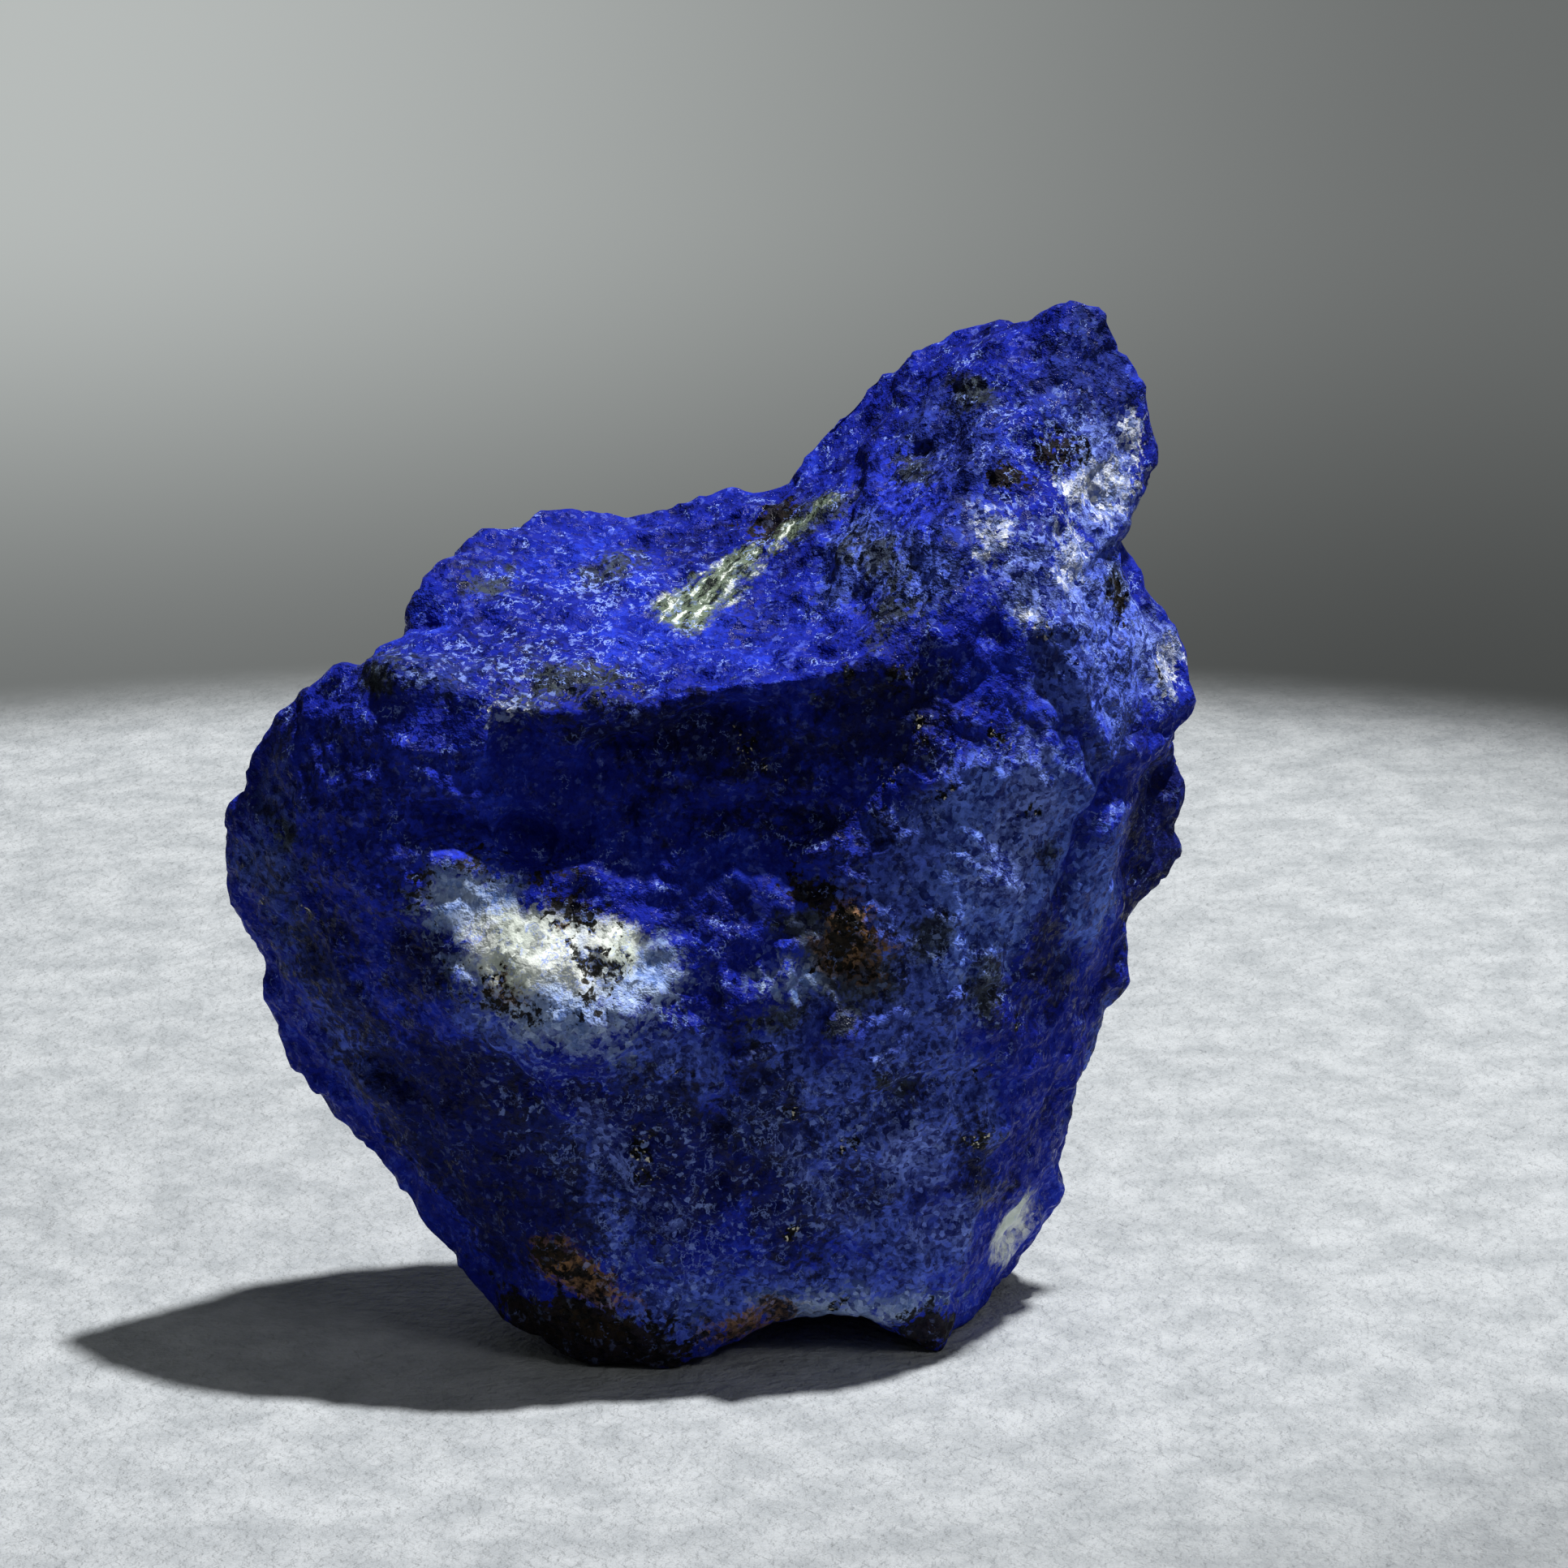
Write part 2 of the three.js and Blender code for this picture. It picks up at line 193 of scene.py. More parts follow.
def firmed(places, triangles):
    """The same corners moved out by as much as subdivision will draw them in, so that ridges stay put."""
    drawn_in = subdivide(places, triangles)[0][:len(places)]
    moves = FIRMNESS * (places - drawn_in)
    moves[places[:, 2] < FLAT_BELOW] = 0
    return places + moves


def corner_normals(places, triangles):
    """A unit normal at each corner, the average of the triangles round it by area."""
    a, b, c = (places[triangles[:, i]] for i in range(3))
    faces = np.cross(b - a, c - a)
    total = sum(sum_at(len(places), triangles[:, i], faces) for i in range(3))
    return total / np.linalg.norm(total, axis=1)[:, None]


# ---------------------------------------------------------------- relief

# Ledges of the broken skin: the line of the ledge, the side on which the skin drops, how far it drops, and
# how far from the line it takes to come back.
LEDGES = [
    ([(-12.8, -9.8, 30.5), (-11.0, -9.8, 30.0), (-8.9, -9.7, 29.4)], (0.0, 0.0, -1.0), 1.6, 2.2),
    ([(-11.0, -9.4, 33.4), (-10.5, -9.2, 32.2), (-9.7, -9.7, 30.2)], (1.0, 0.0, 0.1), 0.4, 3.5),
    ([(-9.4, -9.9, 29.0), (-6.4, -10.2, 27.8), (-4.6, -10.3, 26.8)], (0.0, 0.4, 1.0), 0.3, 1.8),
    ([(-1.5, -8.6, 30.2), (2.0, -8.8, 30.8), (4.6, -9.0, 30.2)], (0.0, 0.0, -1.0), 0.7, 1.6),
    ([(3.4, -8.9, 34.6), (6.4, -8.9, 34.0), (8.2, -8.8, 34.6)], (0.0, 0.0, -1.0), 0.35, 1.6),
    ([(-4.2, -8.5, 32.0), (-0.6, -8.4, 33.2), (1.4, -8.3, 34.4)], (0.0, 0.0, 1.0), 1.4, 1.8),
    ([(-0.6, -5.4, 37.7), (1.4, -5.2, 37.9)], (0.0, -1.0, -0.3), 0.5, 0.8),
    ([(-9.6, -11.0, 17.6), (-7.3, -10.5, 14.7), (-4.4, -10.2, 11.7), (-4.0, -10.1, 9.6)],
     (-0.7, 0.0, -0.7), 0.5, 3.0),
    ([(2.6, -10.2, 14.4), (5.2, -9.8, 11.4), (7.8, -9.3, 8.0)], (0.7, 0.0, 0.7), 0.4, 2.2),
    ([(21.2, -3.4, 31.0), (20.4, -4.2, 28.8), (19.2, -5.0, 26.6)], (-1.0, 0.0, 0.3), 0.5, 1.6),
    ([(11.0, -8.4, 16.4), (13.6, -7.4, 16.0), (16.4, -5.2, 15.4)], (0.0, 0.0, -1.0), 0.4, 1.8),
    ([(2.4, -9.6, 28.6), (5.0, -9.4, 27.2), (7.4, -9.6, 26.6)], (0.0, 0.0, -1.0), 0.4, 1.4),
    ([(-6.4, -9.0, 29.6), (-3.4, -8.8, 29.2), (-1.2, -9.2, 27.8)], (0.0, 0.0, -1.0), 0.35, 1.4),
    ([(0.4, -10.6, 20.6), (1.4, -10.4, 17.0), (0.8, -10.2, 13.8)], (-1.0, 0.0, 0.2), 0.35, 1.8),
    ([(9.0, -9.8, 12.6), (10.4, -8.8, 9.4), (10.8, -7.8, 6.6)], (0.9, 0.0, 0.4), 0.4, 1.8),
    ([(16.0, -7.6, 36.6), (18.6, -6.6, 33.2), (19.8, -5.4, 29.6)], (1.0, 0.0, 0.3), 0.35, 1.8),
]

# Across a ledge, from its high side to its low side: where its lip starts to rise, where the lip is full and
# the skin starts to drop, where the lip has gone, and where the drop is full.
LIP_START = -1.6
LIP_FULL = -0.12
LIP_GONE = 0.1
DROP_FULL = 0.22

# The lip's share of the drop, the share of the reach over which the skin stays down, and the distances past
# the end of its line between which a ledge fades.
LIP_SHARE = 0.35
HOLD_SHARE = 0.25
LEDGE_FADE = (1.0, 2.6)

# Lumps and, with a height below zero, pits: centre, radii and height.
LUMPS = [
    ((1.7, -3.3, 38.6), (1.6, 1.9, 1.2), 0.45),
    ((3.1, 3.2, 42.4), (0.8, 1.0, 0.7), -0.9),
    ((0.6, -8.4, 34.4), (0.9, 1.5, 0.7), -0.6),
    ((0.9, -8.3, 31.8), (2.0, 2.2, 1.4), 1.4),
    ((-5.4, -8.2, 31.2), (1.8, 2.2, 1.3), 1.1),
    ((-2.4, -8.4, 29.6), (1.8, 2.2, 1.2), 0.9),
    ((4.6, -8.8, 31.6), (1.6, 2.2, 1.1), 0.9),
    ((1.5, -9.7, 26.7), (1.2, 1.5, 0.9), 0.4),
    ((3.5, -10.0, 25.7), (1.2, 1.5, 1.1), 0.45),
    ((0.1, -10.6, 24.2), (1.5, 1.5, 1.0), 0.4),
    ((-2.6, -11.0, 25.0), (1.4, 1.5, 1.2), 0.35),
    ((6.3, -9.2, 28.3), (2.8, 2.2, 1.7), 0.9),
    ((6.4, -10.6, 18.9), (1.8, 1.5, 1.5), 0.6),
    ((14.6, -6.0, 12.2), (2.0, 2.0, 1.7), 0.45),
    ((7.2, -10.4, 22.8), (1.4, 1.5, 1.9), -0.35),
    ((-5.6, -12.2, 22.4), (0.7, 1.5, 2.2), -0.4),
    ((-8.4, -12.0, 24.8), (6.0, 3.0, 3.0), -0.3),
    ((-6.0, -11.6, 20.4), (10.0, 4.0, 4.4), 0.75),
    ((10.0, -9.6, 12.4), (1.0, 1.5, 0.8), -0.4),
    ((17.6, -1.4, 47.7), (1.0, 1.2, 0.8), -0.3),
]

# Places whose flakes are rougher than the rest: centre, radii and by how much. Below zero, they are smoother.
ROUGH_PLACES = [
    ((6.0, -9.0, 14.0), (16.0, 7.0, 16.0), 1.5),
    ((2.0, -8.5, 31.0), (14.0, 5.0, 8.5), 1.9),
    ((18.5, -2.0, 42.0), (6.0, 6.0, 9.0), 0.5),
    ((-7.0, -12.0, 24.0), (7.0, 3.0, 4.0), -0.4),
]

# Stepped skin: the centre and radii of the place, the way across its steps, and the width, drop and waviness
# of a step. In order: the lower left flank with long steep steps, the lower front, the right of the front,
# the left of the front with faint steps, and the back.
TERRACES = [
    ((-16.5, -5.5, 14.5), (7.0, 6.0, 11.0), (0.87, 0.0, 0.49), 2.3, 1.0, 0.4),
    ((3.0, -10.5, 14.0), (18.0, 8.0, 14.0), (0.3, 0.0, 0.95), 2.2, 0.55, 1.2),
    ((12.0, -8.0, 28.0), (9.0, 6.0, 12.0), (0.5, 0.0, 0.86), 1.9, 0.45, 1.2),
    ((-14.0, -9.0, 30.0), (9.0, 6.0, 7.0), (0.3, 0.0, 0.95), 1.7, 0.14, 0.9),
    ((0.0, 11.0, 24.0), (20.0, 8.0, 20.0), (-0.3, 0.0, 0.95), 2.3, 0.55, 1.2),
]

# Where along its width a step starts to drop off, the waves of its line (size, strength and salt), the
# places where it is missing (size and salt), and how much of it there is, by default and from place to place.
STEP_EDGE = 0.75
STEP_WAVES = ((3.6, 1.0, 61), (1.3, 0.35, 62))
STEP_GAPS = (4.4, 63)
STEP_SHARE = 0.45
STEP_SPREAD = 0.9

# Flat flakes: size, slope, step, width of the seam between two, and salt.
FLAKES = [(2.6, 0.10, 0.18, 0.40, 31), (1.2, 0.26, 0.15, 0.26, 47)]
PLAIN_ROUGHNESS = 0.8

# Gentle swells below the flakes and grit on top of them: how high, and their size and salt.
SWELL_HEIGHT = 0.10
SWELLS = (4.0, 20)
GRIT_HEIGHT = 0.05
GRIT = (0.8, 71)

# How far the lines between flakes stray, and those of ledges and lumps, which stray less but more finely.
SWAY_SIZE = 2.4
SWAY_SALTS = (5, 6, 7)
FLAKE_SWAY = 0.7
LEDGE_SWAY = 0.35
LEDGE_JITTER = 0.25
LEDGE_GRAIN = (0.9, 81)

# The relief fades in over this height, so that the stone keeps the flat spots that it rests on.
LIFT_HEIGHT = 0.8

# Relief that is too steep for the mesh is eased: the steepest slope left, and how often and by how much.
STEEPEST = 0.8
EASING_ROUNDS = 20
EASING_SHARE = 0.22


def nearness(points, centre, radii):
    """1 in the middle of an egg-shaped place, easing down to 0 on its edge."""
    span = np.linalg.norm((points - centre) / radii, axis=1)
    return 1 - smooth_step(span, 0.0, 1.0)


def line_offset(points, line, low_side):
    """How far each point is from a bent line, and how far on its low side."""
    nearest = np.full(len(points), np.inf)
    side = np.zeros(len(points))
    for start, end in zip(line, line[1:]):
        run = end - start
        share = np.clip((points - start) @ run / (run @ run), 0, 1)
        away = points - start - share[:, None] * run
        span = np.linalg.norm(away, axis=1)
        closer = span < nearest
        nearest[closer] = span[closer]
        side[closer] = (away @ low_side)[closer]
    return nearest, side


def ledge_height(points, line, low_side, drop, reach):
    """The skin just beyond the line lies lower, and comes back within reach."""
    nearest, side = line_offset(points, np.array(line), np.array(low_side) / np.linalg.norm(low_side))
    past = np.sqrt(np.maximum(nearest ** 2 - side ** 2, 0))
    fade = 1 - smooth_step(past, *LEDGE_FADE)
    sunk = smooth_step(side, LIP_FULL, DROP_FULL) * (1 - smooth_step(side, HOLD_SHARE * reach, reach))
    lip = smooth_step(side, LIP_START, LIP_FULL) * (1 - smooth_step(side, LIP_FULL, LIP_GONE))
    return drop * fade * (LIP_SHARE * lip - sunk)


def terrace_height(points, centre, radii, across, width, drop, wave):
    """Steps that each rise slowly and then drop off, with gaps where they are missing."""
    phase = points @ np.array(across) / width
    for size, strength, salt in STEP_WAVES:
        phase = phase + strength * wave * soft_noise(points, size, salt)
    part = phase - np.floor(phase)
    share = np.clip(STEP_SHARE + STEP_SPREAD * soft_noise(points, *STEP_GAPS), 0, 1)
    share = share * nearness(points, centre, radii) ** 0.5
    return drop * (part - smooth_step(part, STEP_EDGE, 1.0)) * share


def rock_relief(points):
    """How far each point of the skin stands out, in millimetres, from its grain and broken flakes."""
    sway = np.stack([soft_noise(points, SWAY_SIZE, salt) for salt in SWAY_SALTS], axis=1)
    bent = points + FLAKE_SWAY * sway
    rougher = [more * nearness(points, centre, radii) for centre, radii, more in ROUGH_PLACES]
    rough = PLAIN_ROUGHNESS + sum(rougher)
    height = SWELL_HEIGHT * layered_noise(points, *SWELLS)
    for flakes in FLAKES:
        height += rough * flake_height(bent, *flakes)
    height += GRIT_HEIGHT * rough * soft_noise(points, *GRIT)
    jagged = points + LEDGE_SWAY * sway + LEDGE_JITTER * soft_noise(points, *LEDGE_GRAIN)[:, None]
    for ledge in LEDGES:
        height += ledge_height(jagged, *ledge)
    for centre, radii, rise in LUMPS:
        height += rise * nearness(jagged, centre, radii)
    return height + sum(terrace_height(points, *terrace) for terrace in TERRACES)


def eased(heights, places, triangles):
    """The same heights, with neighbours pulled together wherever the skin would be too steep."""
    first, second = np.unique(edge_ends(triangles), axis=0).T
    room = STEEPEST * np.linalg.norm(places[first] - places[second], axis=1)
    count = len(heights)
    for _ in range(EASING_ROUNDS):
        gap = heights[first] - heights[second]
        excess = np.sign(gap) * np.maximum(np.abs(gap) - room, 0)
        pull = np.bincount(second, excess, count) - np.bincount(first, excess, count)
        heights = heights + EASING_SHARE * pull
    return heights


def grow_skin(node):
    """The broken skin of the stone as corners and triangles, inside the solid's own box."""
    places, triangles = solid_arrays(node)
    low, high = places.min(axis=0), places.max(axis=0)
    for _ in range(2):
        places, triangles = subdivide(firmed(places, triangles), triangles)
    normals = corner_normals(places, triangles)
    lift = smooth_step(places[:, 2], 0.0, LIFT_HEIGHT)
    heights = eased(rock_relief(places) * lift, places, triangles)
    places = places + normals * heights[:, None]
    found_low, found_high = places.min(axis=0), places.max(axis=0)
    places = (places - found_low) / (found_high - found_low) * (high - low) + low
    return places, triangles


def mesh_object(name, places, triangles, material, fields):
    """A smooth-shaded Blender object from corners in millimetres, with a number at each corner per field."""
    mesh = bpy.data.meshes.new(name)
    mesh.from_pydata((places * MM).tolist(), [], triangles.tolist())
    mesh.shade_smooth()
    mesh.materials.append(material)
    for title, values in fields.items():
        mesh.attributes.new(title, "FLOAT", "POINT").data.foreach_set("value", values.astype(np.float32))
    piece = bpy.data.objects.new(name, mesh)
    bpy.context.scene.collection.objects.link(piece)
    return piece


# ---------------------------------------------------------------- node trees

class Nodes:
    """A node tree under construction. Each method adds a node and returns its output."""

    def __init__(self, tree):
        self.tree = tree

    def add(self, kind, inputs, **settings):
        """The node itself, with its settings and with values or other nodes' outputs on its inputs."""
        node = self.tree.nodes.new(kind)
        for name, value in settings.items():
            setattr(node, name, value)
        for key, value in inputs.items():
            self.feed(node.inputs[key], value)
        return node

    def feed(self, socket, value):
        if isinstance(value, bpy.types.NodeSocket):
            self.tree.links.new(value, socket)
        else:
            socket.default_value = value

    def vector(self, operation, first, second):
        return self.add("ShaderNodeVectorMath", {0: first, 1: second}, operation=operation).outputs["Vector"]

    def scaled(self, vector, share):
        return self.add("ShaderNodeVectorMath", {0: vector, "Scale": share}, operation="SCALE").outputs[0]

    def measure(self, operation, first, second):
        """A number from two vectors, such as their dot product or the distance between them."""
        return self.add("ShaderNodeVectorMath", {0: first, 1: second}, operation=operation).outputs["Value"]

    def calc(self, operation, first, second=0.0, third=0.0):
        inputs = {0: first, 1: second, 2: third}
        return self.add("ShaderNodeMath", inputs, operation=operation).outputs[0]

    def blend(self, *parts):
        """The sum of several values, each times its share."""
        total = 0.0
        for value, share in parts:
            total = self.calc("MULTIPLY_ADD", value, share, total)
        return total

    def carry(self, value, ends, results, shape="SMOOTHSTEP"):
        """Carries a value that runs between two ends over to one that runs between two results."""
        inputs = {"Value": value, "From Min": ends[0], "From Max": ends[1]}
        inputs.update({"To Min": results[0], "To Max": results[1]})
        return self.add("ShaderNodeMapRange", inputs, interpolation_type=shape).outputs["Result"]

    def ramp(self, value, low, high):
        """0 at low, 1 at high, and an even curve between."""
        return self.carry(value, (low, high), (0.0, 1.0))

    def mix(self, share, first, second):
        """Between two colours."""
        colours = [c if isinstance(c, bpy.types.NodeSocket) else (*c, 1.0) for c in (first, second)]
        inputs = {0: share, 6: colours[0], 7: colours[1]}
        return self.add("ShaderNodeMix", inputs, data_type="RGBA").outputs[2]

    def noise(self, where, size, detail, rough, output="Fac"):
        inputs = {"Vector": where, "Scale": 1 / size, "Detail": detail, "Roughness": rough}
        return self.add("ShaderNodeTexNoise", inputs).outputs[output]

    def grains(self, where, size):
        """A random colour for each grain."""
        return self.add("ShaderNodeTexVoronoi", {"Vector": where, "Scale": 1 / size}).outputs["Color"]


class Look(Nodes):
    """A procedural material under construction."""

    def __init__(self, name):
        self.material = bpy.data.materials.new(name)
        self.material.use_nodes = True
        super().__init__(self.material.node_tree)
        self.surface = self.tree.nodes["Principled BSDF"]

    def millimetres(self):
        """Places on the object, in millimetres."""
        where = self.tree.nodes.new("ShaderNodeTexCoord").outputs["Object"]
        return self.scaled(where, 1 / MM)

    def cover(self, name, mottle, stir, soft):
        """1 inside the patches that a field holds and 0 outside, with an edge broken into grains."""
        field = self.add("ShaderNodeAttribute", {}, attribute_name=name).outputs["Fac"]
        stirred = self.calc("MULTIPLY_ADD", self.calc("SUBTRACT", mottle, 0.5), stir, field)
        return self.ramp(stirred, soft, -soft)


# ---------------------------------------------------------------- minerals

# Minerals in the blue rock, each laid over the ones before. The colours run from its darkest grains to its
# lightest, and cover is how much of what lies below it hides. Stir is how far grains carry its edge in or out
# and soft is the width over which it thins out, both in millimetres. Grain, which is 1 where it isn't given,
# is how much of its colour follows its grains rather than broad clouds. Each patch has a centre and radii in
# millimetres and a turn about the depth axis in degrees.
MINERALS = {
    "bright blue": {
        "dark": (0.003, 0.007, 0.13), "light": (0.02, 0.04, 0.58),
        "stir": 8.0, "soft": 1.0, "cover": 0.8,
        "patches": [
            ((-17.5, -7.5, 29.0), (6.0, 5.5, 6.5), 0), ((8.5, -5.0, 42.0), (5.0, 4.0, 4.0), 0),
            ((10.5, -1.0, 45.5), (4.5, 4.0, 4.5), 0), ((15.0, -8.0, 29.0), (4.4, 3.6, 6.0), 0),
            ((20.0, -4.0, 27.0), (2.6, 3.4, 6.0), 0), ((20.2, -3.2, 23.0), (2.6, 3.4, 4.5), 0),
            ((-7.0, 8.0, 36.0), (6.0, 4.0, 5.0), 0), ((14.0, 11.0, 30.0), (6.0, 4.0, 8.0), 20),
        ],
    },
    "greyish blue": {
        "dark": (0.009, 0.017, 0.12), "light": (0.115, 0.19, 0.82),
        "stir": 10.0, "soft": 0.7, "cover": 0.85,
        "patches": [
            ((12.0, -8.0, 25.0), (6.5, 6.0, 7.0), 0), ((8.5, -9.0, 14.5), (6.5, 6.0, 7.5), 0),
            ((-2.5, -10.6, 17.0), (4.6, 4.0, 2.6), 20), ((-6.0, -9.6, 10.5), (2.0, 4.0, 5.0), -35),
            ((19.0, -3.0, 38.0), (3.6, 5.0, 6.0), 0), ((3.0, -8.0, 3.6), (11.0, 6.0, 2.4), 0),
            ((-18.6, -5.5, 17.5), (1.6, 4.0, 8.0), -28), ((12.5, -7.5, 9.5), (4.0, 4.0, 6.0), 0),
            ((-10.6, -9.8, 20.0), (3.0, 4.0, 2.0), 40), ((10.5, -5.5, 41.5), (2.5, 3.0, 2.0), 0),
            ((7.4, -3.2, 41.8), (3.2, 3.4, 2.4), 0), ((-22.4, -5.0, 27.0), (1.6, 4.0, 2.6), 0),
            ((2.0, 10.5, 24.0), (3.4, 3.0, 8.0), 35), ((-5.0, 10.0, 17.0), (5.0, 4.0, 3.0), -20),
            ((12.0, 10.0, 11.0), (3.4, 4.0, 6.0), 25), ((-13.0, 7.0, 29.0), (3.0, 5.0, 4.6), 40),
            ((14.0, 9.0, 36.0), (3.0, 4.0, 5.0), 30), ((20.0, 4.0, 14.0), (3.0, 4.0, 4.0), 0),
        ],
    },
    "pure blue": {
        "dark": (0.002, 0.005, 0.11), "light": (0.01, 0.022, 0.36),
        "stir": 2.0, "soft": 0.8, "cover": 0.85,
        "patches": [
            ((6.3, -9.4, 28.3), (2.6, 3.0, 1.6), 8), ((6.4, -10.6, 19.0), (1.7, 2.0, 1.8), 0),
            ((1.2, -10.3, 25.4), (3.4, 3.0, 1.6), 0), ((7.0, -9.5, 10.0), (1.1, 2.0, 3.4), -40),
            ((15.4, -7.5, 21.5), (3.4, 3.0, 2.6), 0), ((0.9, -8.3, 31.8), (2.2, 3.0, 1.3), 0),
            ((-3.6, -8.4, 30.4), (2.8, 3.0, 1.3), 10), ((1.7, -3.3, 38.6), (1.8, 2.4, 1.6), 0),
            ((12.0, -7.4, 9.0), (2.4, 3.0, 2.0), 0), ((14.6, -4.5, 45.0), (1.4, 2.5, 3.4), 20),
        ],
    },
    # Dark blue grains, partly painted shade: the patches under the front ridge, over the lower front and on
    # the lobe at the back right darken the rock where shade falls.
    "dark blue and painted shade": {
        "dark": (0.001, 0.0018, 0.022), "light": (0.006, 0.011, 0.12),
        "stir": 10.0, "soft": 0.6, "cover": 0.85,
        "patches": [
            ((-12.5, -7.0, 11.5), (4.5, 5.0, 8.0), -28), ((-2.8, -10.4, 13.6), (3.4, 3.0, 5.4), -25),
            ((23.6, 4.0, 25.5), (3.4, 5.0, 7.5), 0), ((-18.8, -5.0, 20.5), (2.2, 4.0, 5.0), -24),
            ((3.2, -10.6, 15.4), (2.6, 3.0, 4.4), -15), ((7.6, -9.6, 9.6), (3.4, 3.0, 2.0), 35),
            ((4.0, -9.8, 9.0), (2.4, 3.0, 5.0), -35), ((-14.0, -9.0, 22.5), (2.4, 3.0, 2.4), 0),
            ((17.4, -4.4, 22.0), (1.6, 3.0, 3.0), 0), ((13.6, -6.8, 10.0), (1.2, 3.0, 2.6), -20),
            ((9.4, -9.0, 15.2), (1.5, 3.0, 2.0), 20), ((-1.0, -8.4, 34.2), (6.0, 4.0, 2.0), 8),
            ((8.5, -8.8, 35.0), (4.5, 4.0, 2.4), -10), ((4.0, -9.4, 29.6), (4.0, 4.0, 1.0), 0),
            ((-4.0, 11.0, 28.0), (6.0, 4.0, 7.0), 30),
        ],
    },
    "dull blue": {
        "dark": (0.004, 0.008, 0.035), "light": (0.04, 0.066, 0.26),
        "stir": 9.0, "soft": 0.7, "cover": 0.5,
        "patches": [
            ((12.0, -1.0, 48.5), (3.8, 5.0, 2.8), 30), ((12.5, -4.4, 43.6), (1.8, 3.0, 1.6), 0),
            ((6.0, -5.5, 40.4), (4.6, 3.0, 1.2), 0), ((-14.0, -6.8, 37.0), (4.0, 2.0, 1.0), 5),
            ((-22.0, -5.0, 26.0), (1.8, 5.0, 5.0), 0), ((19.6, 0.4, 50.4), (2.6, 4.0, 3.0), 0),
            ((7.0, 9.0, 38.0), (4.0, 4.0, 4.0), 0), ((-14.0, 8.0, 18.0), (4.0, 4.0, 5.0), 20),
        ],
    },
    # Sky blue, partly painted light: its patches on the right of the front are lighter, standing for the key
    # light that grazes those faces.
    "sky blue and painted light": {
        "dark": (0.012, 0.03, 0.28), "light": (0.18, 0.31, 1.0),
        "stir": 9.0, "soft": 0.7, "cover": 0.8,
        "patches": [
            ((15.6, -7.8, 27.4), (4.4, 4.0, 5.0), 0), ((12.8, -8.8, 23.4), (2.8, 4.0, 2.8), 0),
            ((20.2, -3.4, 24.0), (2.2, 3.4, 3.4), 0),
        ],
    },
    "grey-green": {
        "dark": (0.004, 0.006, 0.012), "light": (0.06, 0.075, 0.065),
        "stir": 6.0, "soft": 0.5, "cover": 0.9,
        "patches": [
            ((-11.0, 0.0, 39.9), (1.3, 1.6, 1.2), 0), ((-4.9, 1.2, 40.4), (1.6, 1.6, 0.9), -20),
            ((7.6, -3.0, 41.9), (2.6, 2.0, 1.0), 0), ((8.6, -4.4, 41.4), (1.2, 1.5, 0.45), 0),
            ((10.9, -9.8, 23.8), (1.4, 1.6, 1.2), 0), ((13.8, -8.5, 20.5), (1.1, 1.6, 1.5), 0),
            ((9.2, -9.8, 15.6), (0.9, 1.6, 0.8), 0), ((17.3, -6.6, 27.4), (1.2, 1.6, 1.2), 0),
            ((-6.8, -8.0, 36.4), (2.2, 1.6, 0.8), 0), ((-9.2, -8.6, 36.0), (1.2, 1.5, 0.6), 0),
            ((9.6, -1.0, 46.6), (1.6, 2.0, 1.0), 30), ((12.6, 1.5, 49.6), (1.6, 2.0, 1.0), 30),
            ((8.8, -6.6, 39.6), (2.4, 2.0, 0.8), 0), ((20.7, -0.6, 40.2), (0.9, 1.6, 1.3), -30),
            ((-16.0, -6.3, 36.6), (1.5, 1.6, 0.7), 0), ((-21.8, -5.7, 28.1), (0.9, 2.0, 0.9), 0),
            ((-13.0, 6.0, 26.0), (2.0, 3.0, 1.2), 0), ((6.0, 12.0, 30.0), (2.6, 3.0, 1.2), 40),
            ((5.2, 2.4, 43.2), (1.6, 1.6, 1.0), -30), ((3.6, -10.4, 20.2), (1.6, 1.6, 0.7), 0),
            ((6.6, -10.6, 22.6), (3.0, 3.0, 2.8), 0),
        ],
    },
    "pale blue": {
        "dark": (0.01, 0.02, 0.2), "light": (0.24, 0.34, 0.92),
        "stir": 9.0, "soft": 0.5, "cover": 0.8,
        "patches": [
            ((14.2, -5.6, 43.3), (1.2, 2.0, 1.4), 0), ((18.2, -3.6, 41.2), (1.2, 2.0, 2.2), 0),
            ((15.8, -4.6, 41.0), (2.0, 2.5, 2.8), 0), ((22.6, 0.4, 36.4), (1.6, 2.5, 2.4), 0),
            ((20.0, 0.0, 45.6), (3.0, 3.0, 3.2), 0), ((15.4, -8.4, 27.0), (2.2, 2.0, 1.8), 20),
            ((12.4, -7.4, 7.4), (2.2, 2.6, 1.4), 30), ((10.2, -8.6, 11.6), (1.4, 2.4, 2.6), -30),
            ((-4.8, -10.2, 12.4), (0.8, 2.0, 3.0), -38), ((6.8, -9.6, 9.4), (0.6, 2.0, 2.6), -38),
            ((16.4, -7.6, 30.5), (1.6, 2.5, 3.0), -15),
        ],
    },
    "calcite rim": {
        "dark": (0.11, 0.2, 0.52), "light": (0.6, 0.74, 1.0),
        "stir": 9.0, "soft": 0.7, "cover": 0.95, "grain": 0.6,
        "patches": [
            ((-8.4, -12.0, 24.0), (6.8, 3.0, 4.0), 12), ((-3.8, -11.7, 22.4), (2.6, 2.5, 2.0), 0),
            ((-12.0, -11.0, 25.8), (2.6, 2.5, 1.9), 0), ((4.8, -10.8, 21.7), (1.4, 1.6, 0.6), 0),
            ((-3.0, 10.8, 25.0), (0.9, 2.0, 3.6), 40), ((-14.0, 8.0, 21.0), (1.8, 2.0, 0.8), -20),
            ((6.4, -6.3, 2.6), (4.4, 2.6, 0.9), 0), ((7.6, -6.0, 2.3), (2.6, 2.6, 1.1), 0),
            ((4.4, -7.0, 3.0), (2.6, 3.0, 0.8), 0),
        ],
    },
    "calcite": {
